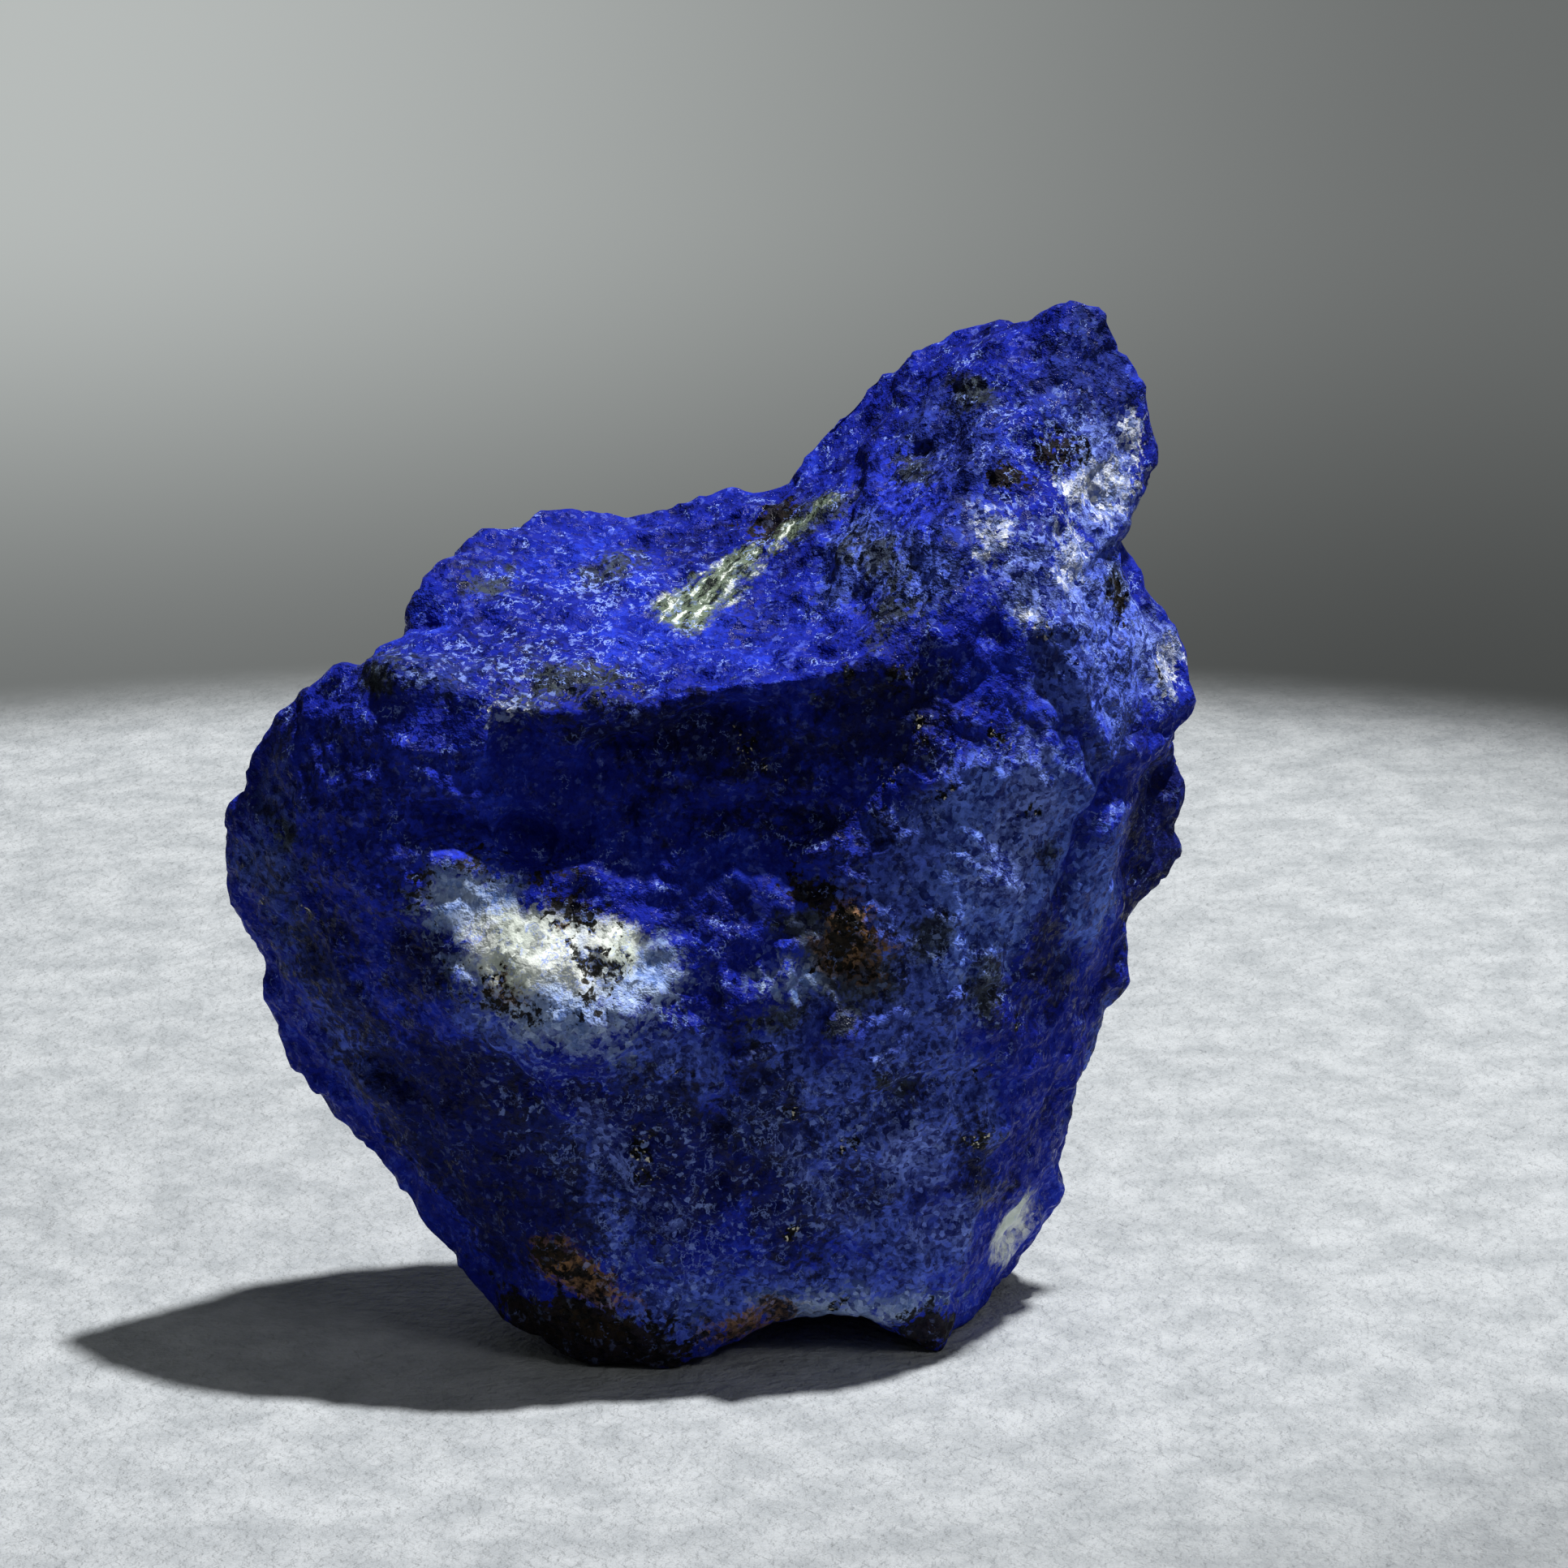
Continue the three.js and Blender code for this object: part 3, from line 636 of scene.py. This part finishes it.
        "dark": (0.66, 0.73, 0.64), "light": (0.93, 0.97, 0.92),
        "stir": 3.4, "soft": 0.5, "cover": 1.0, "grain": 0.2,
        "patches": [
            ((-9.0, -12.3, 24.2), (3.8, 2.5, 2.5), -6), ((-4.7, -11.9, 24.2), (2.2, 2.0, 1.6), 12),
            ((-6.6, -12.0, 22.6), (2.0, 2.0, 1.1), 0), ((16.7, -1.2, 4.4), (1.8, 3.4, 2.8), 0),
            ((-2.6, 11.0, 25.4), (0.4, 2.0, 2.0), 40),
        ],
    },
    "white grains": {
        "dark": (0.16, 0.22, 0.5), "light": (0.88, 0.91, 0.94),
        "stir": 9.0, "soft": 0.25, "cover": 0.95,
        "patches": [
            ((19.6, -0.4, 45.3), (2.2, 3.0, 1.6), 0), ((21.6, 1.0, 46.0), (1.0, 2.0, 2.0), 0),
            ((18.2, -3.2, 42.4), (0.8, 2.0, 1.2), 0), ((14.2, -5.6, 43.3), (0.8, 2.0, 0.9), 0),
            ((16.0, -6.6, 39.4), (0.5, 1.6, 0.3), 0), ((23.2, 0.5, 35.2), (0.6, 2.0, 0.8), 0),
            ((-9.9, -9.2, 35.9), (0.3, 0.8, 0.2), 0), ((16.0, 8.0, 40.0), (0.8, 2.0, 1.6), 30),
            ((6.0, 10.0, 12.0), (1.6, 2.0, 0.4), -25),
        ],
    },
    "rust": {
        "dark": (0.004, 0.003, 0.003), "light": (0.31, 0.165, 0.07),
        "stir": 7.0, "soft": 0.4, "cover": 0.95,
        "patches": [
            ((-6.8, -8.7, 5.0), (3.2, 2.6, 1.3), 28), ((2.0, -6.9, 2.3), (2.4, 3.0, 1.1), -10),
            ((7.1, -10.6, 23.6), (2.1, 2.6, 2.6), -20), ((-6.9, -12.0, 24.8), (0.8, 1.5, 0.7), 0),
            ((-10.4, -11.8, 21.5), (0.9, 1.5, 0.4), 10), ((-6.4, -8.0, 2.4), (2.2, 3.0, 0.9), 8),
            ((6.7, -10.6, 24.6), (0.9, 1.6, 1.0), 0), ((-8.0, 9.0, 5.0), (2.0, 3.0, 1.0), 0),
        ],
    },
    "black": {
        "dark": (0.0008, 0.0008, 0.001), "light": (0.022, 0.016, 0.01),
        "stir": 8.0, "soft": 0.2, "cover": 0.97,
        "patches": [
            ((6.8, -10.6, 23.4), (1.5, 2.4, 2.4), -20), ((8.0, 9.0, 31.0), (1.4, 2.0, 0.8), 30),
            ((-18.0, 3.0, 22.0), (1.0, 3.0, 1.6), 0), ((2.0, 9.0, 3.0), (3.0, 3.0, 1.0), 0),
            ((-5.9, -12.2, 23.2), (0.9, 1.8, 2.3), -12), ((-6.8, -11.2, 26.2), (2.0, 1.8, 1.0), 25),
            ((-10.6, -11.8, 21.0), (1.9, 1.6, 0.6), 14), ((-11.3, -10.8, 28.0), (1.0, 1.4, 0.6), 0),
            ((-14.4, -11.0, 26.4), (0.7, 1.4, 1.1), -20), ((17.6, -1.4, 47.7), (1.3, 1.8, 1.1), 0),
            ((15.1, -2.9, 46.5), (1.2, 1.6, 0.9), 20), ((3.1, 3.0, 42.2), (1.5, 2.4, 1.4), -30),
            ((-6.6, -7.4, 1.8), (5.0, 4.0, 2.2), 6), ((11.0, -5.2, 1.0), (2.2, 3.0, 1.6), 0),
            ((20.8, -0.5, 39.6), (0.5, 1.2, 0.7), 0), ((5.0, -9.8, 26.2), (1.5, 1.8, 0.9), 40),
            ((-9.4, -8.6, 6.2), (1.2, 1.6, 0.6), 20),
        ],
    },
}

# Sugary broken faces, where pale marks and painted glints lie close together.
SUGARY_FACES = [
    ((19.0, -2.0, 43.0), (4.6, 5.0, 9.0), 0), ((-10.0, -6.0, 37.0), (6.0, 3.0, 2.0), 10),
    ((-6.0, -1.5, 39.0), (4.0, 4.0, 2.0), 0), ((-9.0, -12.0, 24.0), (7.5, 3.0, 4.5), 10),
    ((14.0, -8.0, 22.0), (4.0, 3.0, 6.0), 0), ((-6.0, -10.5, 14.0), (6.0, 4.0, 3.0), 30),
    ((8.0, -9.5, 13.0), (6.0, 4.0, 4.0), -30), ((-2.0, -10.0, 7.0), (4.0, 4.0, 3.0), 20),
]

# Small black specks with pyrite in them: centre and radius.
SPECKS = [
    ((9.7, -8.6, 37.3), 0.45), ((5.0, -9.2, 35.8), 0.5), ((10.2, -8.8, 34.3), 0.5),
    ((9.2, -8.5, 32.0), 0.4), ((2.9, -8.7, 32.7), 0.35), ((14.3, -8.0, 33.8), 0.4),
    ((0.8, -8.3, 34.3), 0.6), ((6.8, -8.9, 37.3), 0.25), ((16.9, -6.3, 38.9), 0.4),
    ((19.3, 0.0, 49.0), 0.4), ((14.2, -1.5, 50.0), 0.35), ((22.8, 0.2, 35.6), 0.3),
    ((-21.3, -5.8, 26.9), 0.4), ((-20.3, -6.0, 24.4), 0.4), ((-22.9, -3.6, 24.2), 0.4),
    ((-19.7, -6.2, 23.4), 0.3), ((-16.2, -10.0, 24.8), 0.35), ((-9.9, -11.4, 16.2), 0.45),
    ((-3.2, -10.2, 13.2), 0.6), ((-3.0, -10.1, 11.4), 0.5), ((-1.6, -11.0, 17.4), 0.3),
    ((5.6, -10.5, 21.9), 0.45), ((7.0, -9.9, 12.7), 0.6), ((13.4, -6.9, 12.0), 0.6),
    ((13.8, -6.4, 9.9), 0.5), ((13.6, -6.2, 8.4), 0.35), ((13.0, -8.2, 17.8), 0.4),
    ((15.8, -6.6, 18.6), 0.3), ((14.2, -7.2, 15.8), 0.3), ((6.6, -6.6, 3.0), 0.4),
    ((4.3, -10.2, 15.0), 0.35), ((4.1, -9.4, 8.0), 0.4), ((6.0, 11.0, 22.0), 0.5),
    ((-7.0, 10.0, 31.0), 0.4), ((12.0, 9.6, 26.0), 0.5), ((16.0, 8.0, 18.0), 0.4),
    ((-2.0, 10.8, 12.0), 0.5), ((20.0, 5.0, 32.0), 0.4), ((9.0, 7.0, 42.0), 0.4), ((-16.0, 5.0, 28.0), 0.5),
    ((1.6, -8.5, 33.8), 0.3), ((-18.0, -7.0, 30.6), 0.3), ((11.8, -8.7, 31.2), 0.3),
    ((16.6, -6.9, 30.0), 0.35),
]

# The grey-green vein runs up the top plane and on to the horn: the ends and half width of its two parts.
VEIN = [
    ((-1.2, -2.2, 38.9), (1.5, 1.5, 40.8), 1.3),
    ((2.4, 1.6, 41.2), (5.6, 2.6, 43.8), 0.5),
]
VEIN_RUN = (0.55, 0.70, 0.45)

# Patches whose radii are all above this have a ragged outline: how ragged, the length of its waves as a share
# of the patch, and their salt.
RAGGED_ABOVE = 2.5
RAGGEDNESS = 0.45
RAGGED_WAVE = 1.2
RAGGED_SALT = 111

# How far the outlines of all patches stray, and how long their waves are.
PATCH_SWAY = 0.55
PATCH_WAVE = 2.6
PATCH_SALTS = (91, 95, 99)


def patch_distance(points, centre, radii, turn):
    """How far each point is outside an egg-shaped patch, in millimetres, and below zero inside it."""
    angle = math.radians(turn)
    x, y, z = (points - centre).T
    across = x * math.cos(angle) - z * math.sin(angle)
    along = x * math.sin(angle) + z * math.cos(angle)
    span = np.linalg.norm(np.stack([across, y, along], axis=1) / radii, axis=1)
    if min(radii) > RAGGED_ABOVE:
        span = span + RAGGEDNESS * layered_noise(points, RAGGED_WAVE * max(radii), RAGGED_SALT, 2)
    return (span - 1) * min(radii[0], radii[2])


def line_distance(points, start, end, width):
    """How far each point is outside a rod between two points, in millimetres."""
    run = np.subtract(end, start)
    share = np.clip((points - start) @ run / (run @ run), 0, 1)
    return np.linalg.norm(points - start - share[:, None] * run, axis=1) - width


def ball_distance(points, centre, radius):
    """How far each point is outside a ball, in millimetres."""
    return np.linalg.norm(points - centre, axis=1) - radius


def mineral_fields(places):
    """For each mineral, how far each corner of the skin is outside its patches, in millimetres."""
    sway = np.stack([layered_noise(places, PATCH_WAVE, salt) for salt in PATCH_SALTS], axis=1)
    bent = places + PATCH_SWAY * sway
    fields = {}
    for name, mineral in MINERALS.items():
        fields[name] = np.min([patch_distance(bent, *patch) for patch in mineral["patches"]], axis=0)
    fields["sugary"] = np.min([patch_distance(bent, *patch) for patch in SUGARY_FACES], axis=0)
    fields["specks"] = np.min([ball_distance(bent, *speck) for speck in SPECKS], axis=0)
    fields["vein"] = np.min([line_distance(bent, *part) for part in VEIN], axis=0)
    return fields


# ---------------------------------------------------------------- the stone's material

DEEP_BLUE = (0.0015, 0.004, 0.09)
MIDDLE_BLUE = (0.005, 0.013, 0.28)
VIVID_BLUE = (0.014, 0.036, 0.50)
DULL_GRAIN = (0.012, 0.014, 0.035)
# Pale flake edges partly painted as glints, and pale flecks partly painted as sparkle.
PALE_MARK_GLINT = (0.28, 0.40, 0.95)
PALE_FLECK_SPARKLE = (0.30, 0.42, 0.90)
SPECK_BLACK = (0.001, 0.001, 0.0015)
PYRITE = (0.62, 0.58, 0.46)
VEIN_BLACK = (0.006, 0.010, 0.010)
VEIN_GREEN = (0.13, 0.17, 0.12)
VEIN_WHITE = (0.74, 0.80, 0.72)

# Noises in the rock, from broad clouds down to glints: size in millimetres, detail and roughness.
BROAD = (8.0, 3.0, 0.5)
BLOTCH = (3.2, 2.0, 0.5)
FINE = (1.5, 4.0, 0.65)
MARK_PLACES = (1.4, 4.0, 0.7)
DULL = (1.1, 5.0, 0.7)
FIBRES = (1.0, 4.0, 0.65)
MARKS = (0.6, 3.0, 0.6)
SUGAR = (0.45, 3.0, 0.7)
STRAYING = (0.4, 2.0, 0.5)
GLINTS = (0.28, 1.0, 0.5)

# Sizes of clumps and of single grains, in millimetres.
CLUMP_SIZE = 1.1
GRAIN_SIZE = 0.3

# The values of a noise or tone between which something comes in, from none at the first to all at the second.
BROAD_BAND = (0.3, 0.7)
FINE_BAND = (0.25, 0.75)
MIDDLE_BAND = (0.2, 0.5)
VIVID_BAND = (0.5, 0.8)
DULL_BAND = (0.60, 0.70)
SHADE_BAND = (0.38, 0.65)
CLOUD_BAND = (0.4, 0.6)
GLINT_BAND = (0.64, 0.68)
GREEN_BAND = (0.38, 0.5)
WHITE_BAND = (0.54, 0.62)
LEVEL_BAND = (-0.3, 0.6)
MARK_GATE = (0.56, 0.62)
MARK_BAND = (0.03, 0.008)
FLECK_GATE = (0.86, 0.90)
FLECK_BAND = (0.42, 0.58)
ROUGHNESS_BAND = (-0.35, 0.9)

# How much more readily marks come on sugary faces, and the least strength of marks and flecks and what is
# added to it on level or sugary faces. On level faces this is painted highlight, where the light falls.
SUGARY_HELP = 0.08
MARK_LEAST = 0.25
MARK_LIGHT_GAIN = 0.5
FLECK_LEAST = 0.13
FLECK_GAIN = 0.42

# How far the outlines of grains stray, in millimetres.
JITTER = 0.4

# How far grains carry the edges of these fields in or out, and the width over which they thin out.
SPECK_EDGE = (5.0, 0.2)
VEIN_EDGE = (4.0, 0.4)
SUGARY_EDGE = (4.0, 1.5)
CALM_EDGE = (3.4, 0.8)

# How much finer the fibres of the vein are across it than along it: their scale each way.
FIBRES_ALONG = 0.6
FIBRES_ACROSS = 2.2

# How much of the blue rock's colour dull grains hide.
DULL_COVER = 0.6

# How far the skin leans from grain to grain and from clump to clump, and how deep its crumbs are.
GRAIN_LEAN = 0.35
CLUMP_LEAN = 0.4
CRUMB_DEPTH = 0.30

# Calcite is that much less crumbly than the blue rock.
CALCITE_CALM = 0.6

GLOSS = 0.14


class Rock(Look):
    """The stone's material, with the noises that several of its parts share."""

    def __init__(self, name):
        super().__init__(name)
        self.place = self.millimetres()
        jitter = self.noise(self.place, *STRAYING, "Color")
        self.loose = self.vector("ADD", self.place, self.centred(jitter, JITTER))
        self.grain = self.grains(self.loose, GRAIN_SIZE)
        self.chances = self.add("ShaderNodeSeparateXYZ", {0: self.grain}).outputs
        self.blotch = self.noise(self.place, *BLOTCH)
        self.fine = self.noise(self.place, *FINE)
        self.sugar = self.noise(self.place, *SUGAR)
        self.mottle = self.blend((self.blotch, 0.3), (self.fine, 0.3), (self.sugar, 0.3),
                                 (self.chances[2], 0.1))

    def centred(self, colour, share):
        """A colour as a vector about zero."""
        return self.scaled(self.vector("SUBTRACT", colour, (0.5, 0.5, 0.5)), share)

    def blue(self):
        """The blue rock, in clouds and grains, with dull grains scattered through it."""
        broad = self.noise(self.place, *BROAD)
        tone = self.blend((self.ramp(broad, *BROAD_BAND), 0.3), (self.ramp(self.fine, *FINE_BAND), 0.3),
                          (self.ramp(self.sugar, *FINE_BAND), 0.28), (self.chances[0], 0.12))
        colour = self.mix(self.ramp(tone, *MIDDLE_BAND), DEEP_BLUE, MIDDLE_BLUE)
        colour = self.mix(self.ramp(tone, *VIVID_BAND), colour, VIVID_BLUE)
        dull = self.ramp(self.noise(self.place, *DULL), *DULL_BAND)
        return self.mix(self.calc("MULTIPLY", dull, DULL_COVER), colour, DULL_GRAIN)

    def with_minerals(self, colour):
        """The patches of the other minerals laid over the blue rock."""
        shade = self.blend((self.fine, 0.35), (self.sugar, 0.45), (self.chances[1], 0.2))
        shade = self.ramp(shade, *SHADE_BAND)
        cloud = self.ramp(self.blend((self.blotch, 0.6), (self.fine, 0.4)), *CLOUD_BAND)
        for name, mineral in MINERALS.items():
            share = self.cover(name, self.mottle, mineral["stir"], mineral["soft"])
            share = self.calc("MULTIPLY", share, mineral["cover"])
            by_grain = mineral.get("grain", 1.0)
            texture = self.blend((shade, by_grain), (cloud, 1.0 - by_grain))
            colour = self.mix(share, colour, self.mix(texture, mineral["dark"], mineral["light"]))
        return colour

    def with_specks(self, colour):
        """Black specks with grains of pyrite, and the vein."""
        glint = self.ramp(self.noise(self.place, *GLINTS), *GLINT_BAND)
        pyrite = self.mix(glint, SPECK_BLACK, PYRITE)
        colour = self.mix(self.cover("specks", self.mottle, *SPECK_EDGE), colour, pyrite)
        return self.mix(self.cover("vein", self.mottle, *VEIN_EDGE), colour, self.vein_colour())

    def vein_colour(self):
        """Fibres along the vein, from nearly black to white."""
        run = Vector(VEIN_RUN).normalized()
        across = run.orthogonal().normalized()
        ways = (run * FIBRES_ALONG, across * FIBRES_ACROSS, run.cross(across) * FIBRES_ACROSS)
        places = [self.measure("DOT_PRODUCT", self.loose, tuple(way)) for way in ways]
        fibres = self.add("ShaderNodeCombineXYZ", dict(enumerate(places))).outputs[0]
        streaks = self.noise(fibres, *FIBRES)
        colour = self.mix(self.ramp(streaks, *GREEN_BAND), VEIN_BLACK, VEIN_GREEN)
        return self.mix(self.ramp(streaks, *WHITE_BAND), colour, VEIN_WHITE)

    def with_marks_and_glints(self, colour, facing):
        """Pale marks where small flakes lift, partly painted glints: closest on the sugary faces and, as
        painted highlight, strongest on level ones that face the light. Pale flecks, partly painted sparkle.
        """
        level = self.ramp(self.measure("DOT_PRODUCT", facing, (0.0, 0.0, 1.0)), *LEVEL_BAND)
        sugary = self.cover("sugary", self.mottle, *SUGARY_EDGE)
        crinkle = self.noise(self.place, *MARKS)
        wave = self.calc("ABSOLUTE", self.calc("SUBTRACT", crinkle, 0.5))
        chance = self.noise(self.place, *MARK_PLACES)
        gate = self.ramp(self.calc("ADD", chance, self.calc("MULTIPLY", sugary, SUGARY_HELP)), *MARK_GATE)
        glint_mark = self.calc("MULTIPLY", self.ramp(wave, *MARK_BAND), gate)
        # Painted highlight: marks grow stronger on faces turned up to the light.
        glint_mark = self.calc("MULTIPLY", glint_mark, self.calc("MULTIPLY_ADD", level, MARK_LIGHT_GAIN, MARK_LEAST))
        colour = self.mix(glint_mark, colour, PALE_MARK_GLINT)
        # Flecks, partly painted sparkle.
        sparkle_fleck = self.ramp(self.chances[0], *FLECK_GATE)
        sparkle_fleck = self.calc("MULTIPLY", sparkle_fleck, self.ramp(self.sugar, *FLECK_BAND))
        sparkle_fleck = self.calc("MULTIPLY", sparkle_fleck, self.calc("MULTIPLY_ADD", sugary, FLECK_GAIN, FLECK_LEAST))
        return self.mix(sparkle_fleck, colour, PALE_FLECK_SPARKLE)

    def broken_normal(self, facing):
        """The way the skin faces, leaning from grain to grain, with crumbs."""
        clump = self.grains(self.loose, CLUMP_SIZE)
        tilted = self.vector("ADD", facing, self.centred(self.grain, GRAIN_LEAN))
        tilted = self.vector("ADD", tilted, self.centred(clump, CLUMP_LEAN))
        tilted = self.add("ShaderNodeVectorMath", {0: tilted}, operation="NORMALIZE").outputs[0]
        calcite = self.cover("calcite", self.mottle, *CALM_EDGE)
        strength = self.calc("MULTIPLY_ADD", calcite, -CALCITE_CALM, 1.0)
        crumbs = self.blend((self.fine, 1.2), (self.sugar, 0.6))
        inputs = {"Strength": strength, "Distance": CRUMB_DEPTH * MM, "Height": crumbs, "Normal": tilted}
        return self.add("ShaderNodeBump", inputs).outputs[0]


def lapis_material():
    rock = Rock("lapis")
    facing = rock.tree.nodes.new("ShaderNodeNewGeometry").outputs["Normal"]
    colour = rock.with_specks(rock.with_minerals(rock.blue()))
    rock.feed(rock.surface.inputs["Base Color"], rock.with_marks_and_glints(colour, facing))
    rock.feed(rock.surface.inputs["Normal"], rock.broken_normal(facing))
    rock.feed(rock.surface.inputs["Roughness"], rock.ramp(rock.chances[1], *ROUGHNESS_BAND))
    rock.surface.inputs["Specular IOR Level"].default_value = GLOSS
    return rock.material


# ---------------------------------------------------------------- studio

CAMERA_TARGET = Vector((3.7, -0.7, 29.5)) * MM
CAMERA_ELEVATION = math.radians(15)
CAMERA_DISTANCE = 300 * MM
FRAME_WIDTH_AT_TARGET = 80.5 * MM
SENSOR_WIDTH = 36
NEAREST_SEEN = 0.01
FARTHEST_SEEN = 10

# The key light comes from above and slightly right, and lights a round pool of the floor.
LIGHT_TRAVEL = Vector((-0.306, 0.0, -1.0))
LIGHT_DISTANCE = 1.2
LIGHT_LEVEL = 1.6
LIGHT_RADIUS = 0.032
POOL_CENTRE = Vector((-17, 50, 0)) * MM
POOL_RADIUS = 0.12
POOL_FADE = 0.35

# The fill light is a soft square at the front right.
FILL_FROM = Vector((0.55, -0.50, 0.66))
FILL_DISTANCE = 0.7
FILL_LEVEL = 0.32
FILL_SIZE = 0.18

# The backdrop is brighter towards the back and above, with a glow low behind the stone and a dim foot. A
# span runs along the way from the stone to the backdrop, backward or upward, and is where a change comes in.
BACKDROP_COLOUR = (0.95, 1.0, 0.98, 1)
BACKDROP_LEVELS = (0.024, 0.15)
BACK_SPAN = (0.0, 0.95)
ABOVE_LEVEL = 0.08
ABOVE_SPAN = (0.2, 0.9)
GLOW_LEVEL = 0.36
GLOW_CENTRE = (-0.15, 0.98, -0.12)
GLOW_REACH = 0.30
FOOT_SHARE = 0.45
FOOT_SPAN = (-0.25, -0.16)

FLOOR_RADIUS = 150
FLOOR_SIDES = 96
FLOOR_CLEAR_FROM = 0.85
FLOOR_DARK = (0.31, 0.33, 0.345)
FLOOR_LIGHT = (0.45, 0.47, 0.485)
FLOOR_CLOUDS = (4.0, 5.0, 0.75)
FLOOR_CLOUD_BAND = (0.3, 0.7)
FLOOR_GRAIN = (0.8, 3.0, 0.6)
FLOOR_GRAIN_DEPTH = 0.5
FLOOR_ROUGHNESS = 0.9


def aimed(name, data, place, travel):
    """A camera or light at a place, looking or shining along travel."""
    thing = bpy.data.objects.new(name, data)
    thing.location = place
    thing.rotation_euler = travel.to_track_quat("-Z", "Y").to_euler()
    bpy.context.scene.collection.objects.link(thing)
    return thing


def make_camera():
    data = bpy.data.cameras.new("camera")
    data.sensor_width = SENSOR_WIDTH
    data.lens = SENSOR_WIDTH * CAMERA_DISTANCE / FRAME_WIDTH_AT_TARGET
    data.clip_start = NEAREST_SEEN
    data.clip_end = FARTHEST_SEEN
    back = Vector((0, -math.cos(CAMERA_ELEVATION), math.sin(CAMERA_ELEVATION)))
    bpy.context.scene.camera = aimed("camera", data, CAMERA_TARGET + back * CAMERA_DISTANCE, -back)


def make_lights():
    key = bpy.data.lights.new("key", "SPOT")
    key.energy = LIGHT_LEVEL * 4 * math.pi * math.pi * LIGHT_DISTANCE ** 2
    key.spot_size = 2 * math.atan(POOL_RADIUS / LIGHT_DISTANCE)
    key.spot_blend = POOL_FADE
    key.shadow_soft_size = LIGHT_RADIUS
    travel = LIGHT_TRAVEL.normalized()
    aimed("key", key, POOL_CENTRE - travel * LIGHT_DISTANCE, travel)
    fill = bpy.data.lights.new("fill", "AREA")
    fill.energy = FILL_LEVEL * math.pi * FILL_DISTANCE ** 2
    fill.size = FILL_SIZE
    aimed("fill", fill, CAMERA_TARGET + FILL_FROM.normalized() * FILL_DISTANCE, -FILL_FROM)


def make_backdrop():
    world = bpy.data.worlds.new("world")
    world.use_nodes = True
    nodes = Nodes(world.node_tree)
    toward = nodes.tree.nodes.new("ShaderNodeTexCoord").outputs["Generated"]
    ways = nodes.add("ShaderNodeSeparateXYZ", {0: toward}).outputs
    level = nodes.carry(ways["Y"], BACK_SPAN, BACKDROP_LEVELS, "LINEAR")
    level = nodes.calc("ADD", level, nodes.carry(ways["Z"], ABOVE_SPAN, (0.0, ABOVE_LEVEL), "LINEAR"))
    span = nodes.measure("DISTANCE", toward, GLOW_CENTRE)
    level = nodes.calc("ADD", level, nodes.carry(span, (GLOW_REACH, 0.0), (0.0, GLOW_LEVEL)))
    level = nodes.calc("MULTIPLY", level, nodes.carry(ways["Z"], FOOT_SPAN, (FOOT_SHARE, 1.0)))
    backdrop = world.node_tree.nodes["Background"]
    backdrop.inputs["Color"].default_value = BACKDROP_COLOUR
    nodes.feed(backdrop.inputs["Strength"], level)
    bpy.context.scene.world = world


def floor_material():
    look = Look("floor")
    place = look.millimetres()
    reach = look.add("ShaderNodeVectorMath", {0: place}, operation="LENGTH").outputs["Value"]
    cloud = look.ramp(look.noise(place, *FLOOR_CLOUDS), *FLOOR_CLOUD_BAND)
    look.feed(look.surface.inputs["Base Color"], look.mix(cloud, FLOOR_DARK, FLOOR_LIGHT))
    look.surface.inputs["Roughness"].default_value = FLOOR_ROUGHNESS
    look.feed(look.surface.inputs["Alpha"], look.ramp(reach, FLOOR_RADIUS, FLOOR_CLEAR_FROM * FLOOR_RADIUS))
    grain = look.noise(place, *FLOOR_GRAIN)
    bump = {"Strength": 1.0, "Distance": FLOOR_GRAIN_DEPTH * MM, "Height": grain}
    look.feed(look.surface.inputs["Normal"], look.add("ShaderNodeBump", bump).outputs[0])
    return look.material


def make_floor():
    """A pale disc that turns clear towards its rim."""
    turns = np.linspace(0, 2 * math.pi, FLOOR_SIDES + 1)[:-1]
    rim = np.stack([np.cos(turns), np.sin(turns), 0 * turns], axis=1) * FLOOR_RADIUS
    mesh = bpy.data.meshes.new("floor")
    mesh.from_pydata((rim * MM).tolist(), [], [list(range(len(rim)))])
    mesh.materials.append(floor_material())
    floor = bpy.data.objects.new("floor", mesh)
    bpy.context.scene.collection.objects.link(floor)


# ---------------------------------------------------------------- scene

skin_places, skin_triangles = grow_skin(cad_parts["stone"])
skin_fields = mineral_fields(skin_places)
stone = mesh_object("lapis_stone", skin_places, skin_triangles, lapis_material(), skin_fields)
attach(stone, "root")
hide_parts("stone")
make_floor()
make_lights()
make_backdrop()
make_camera()
bpy.context.scene.view_settings.view_transform = "Standard"
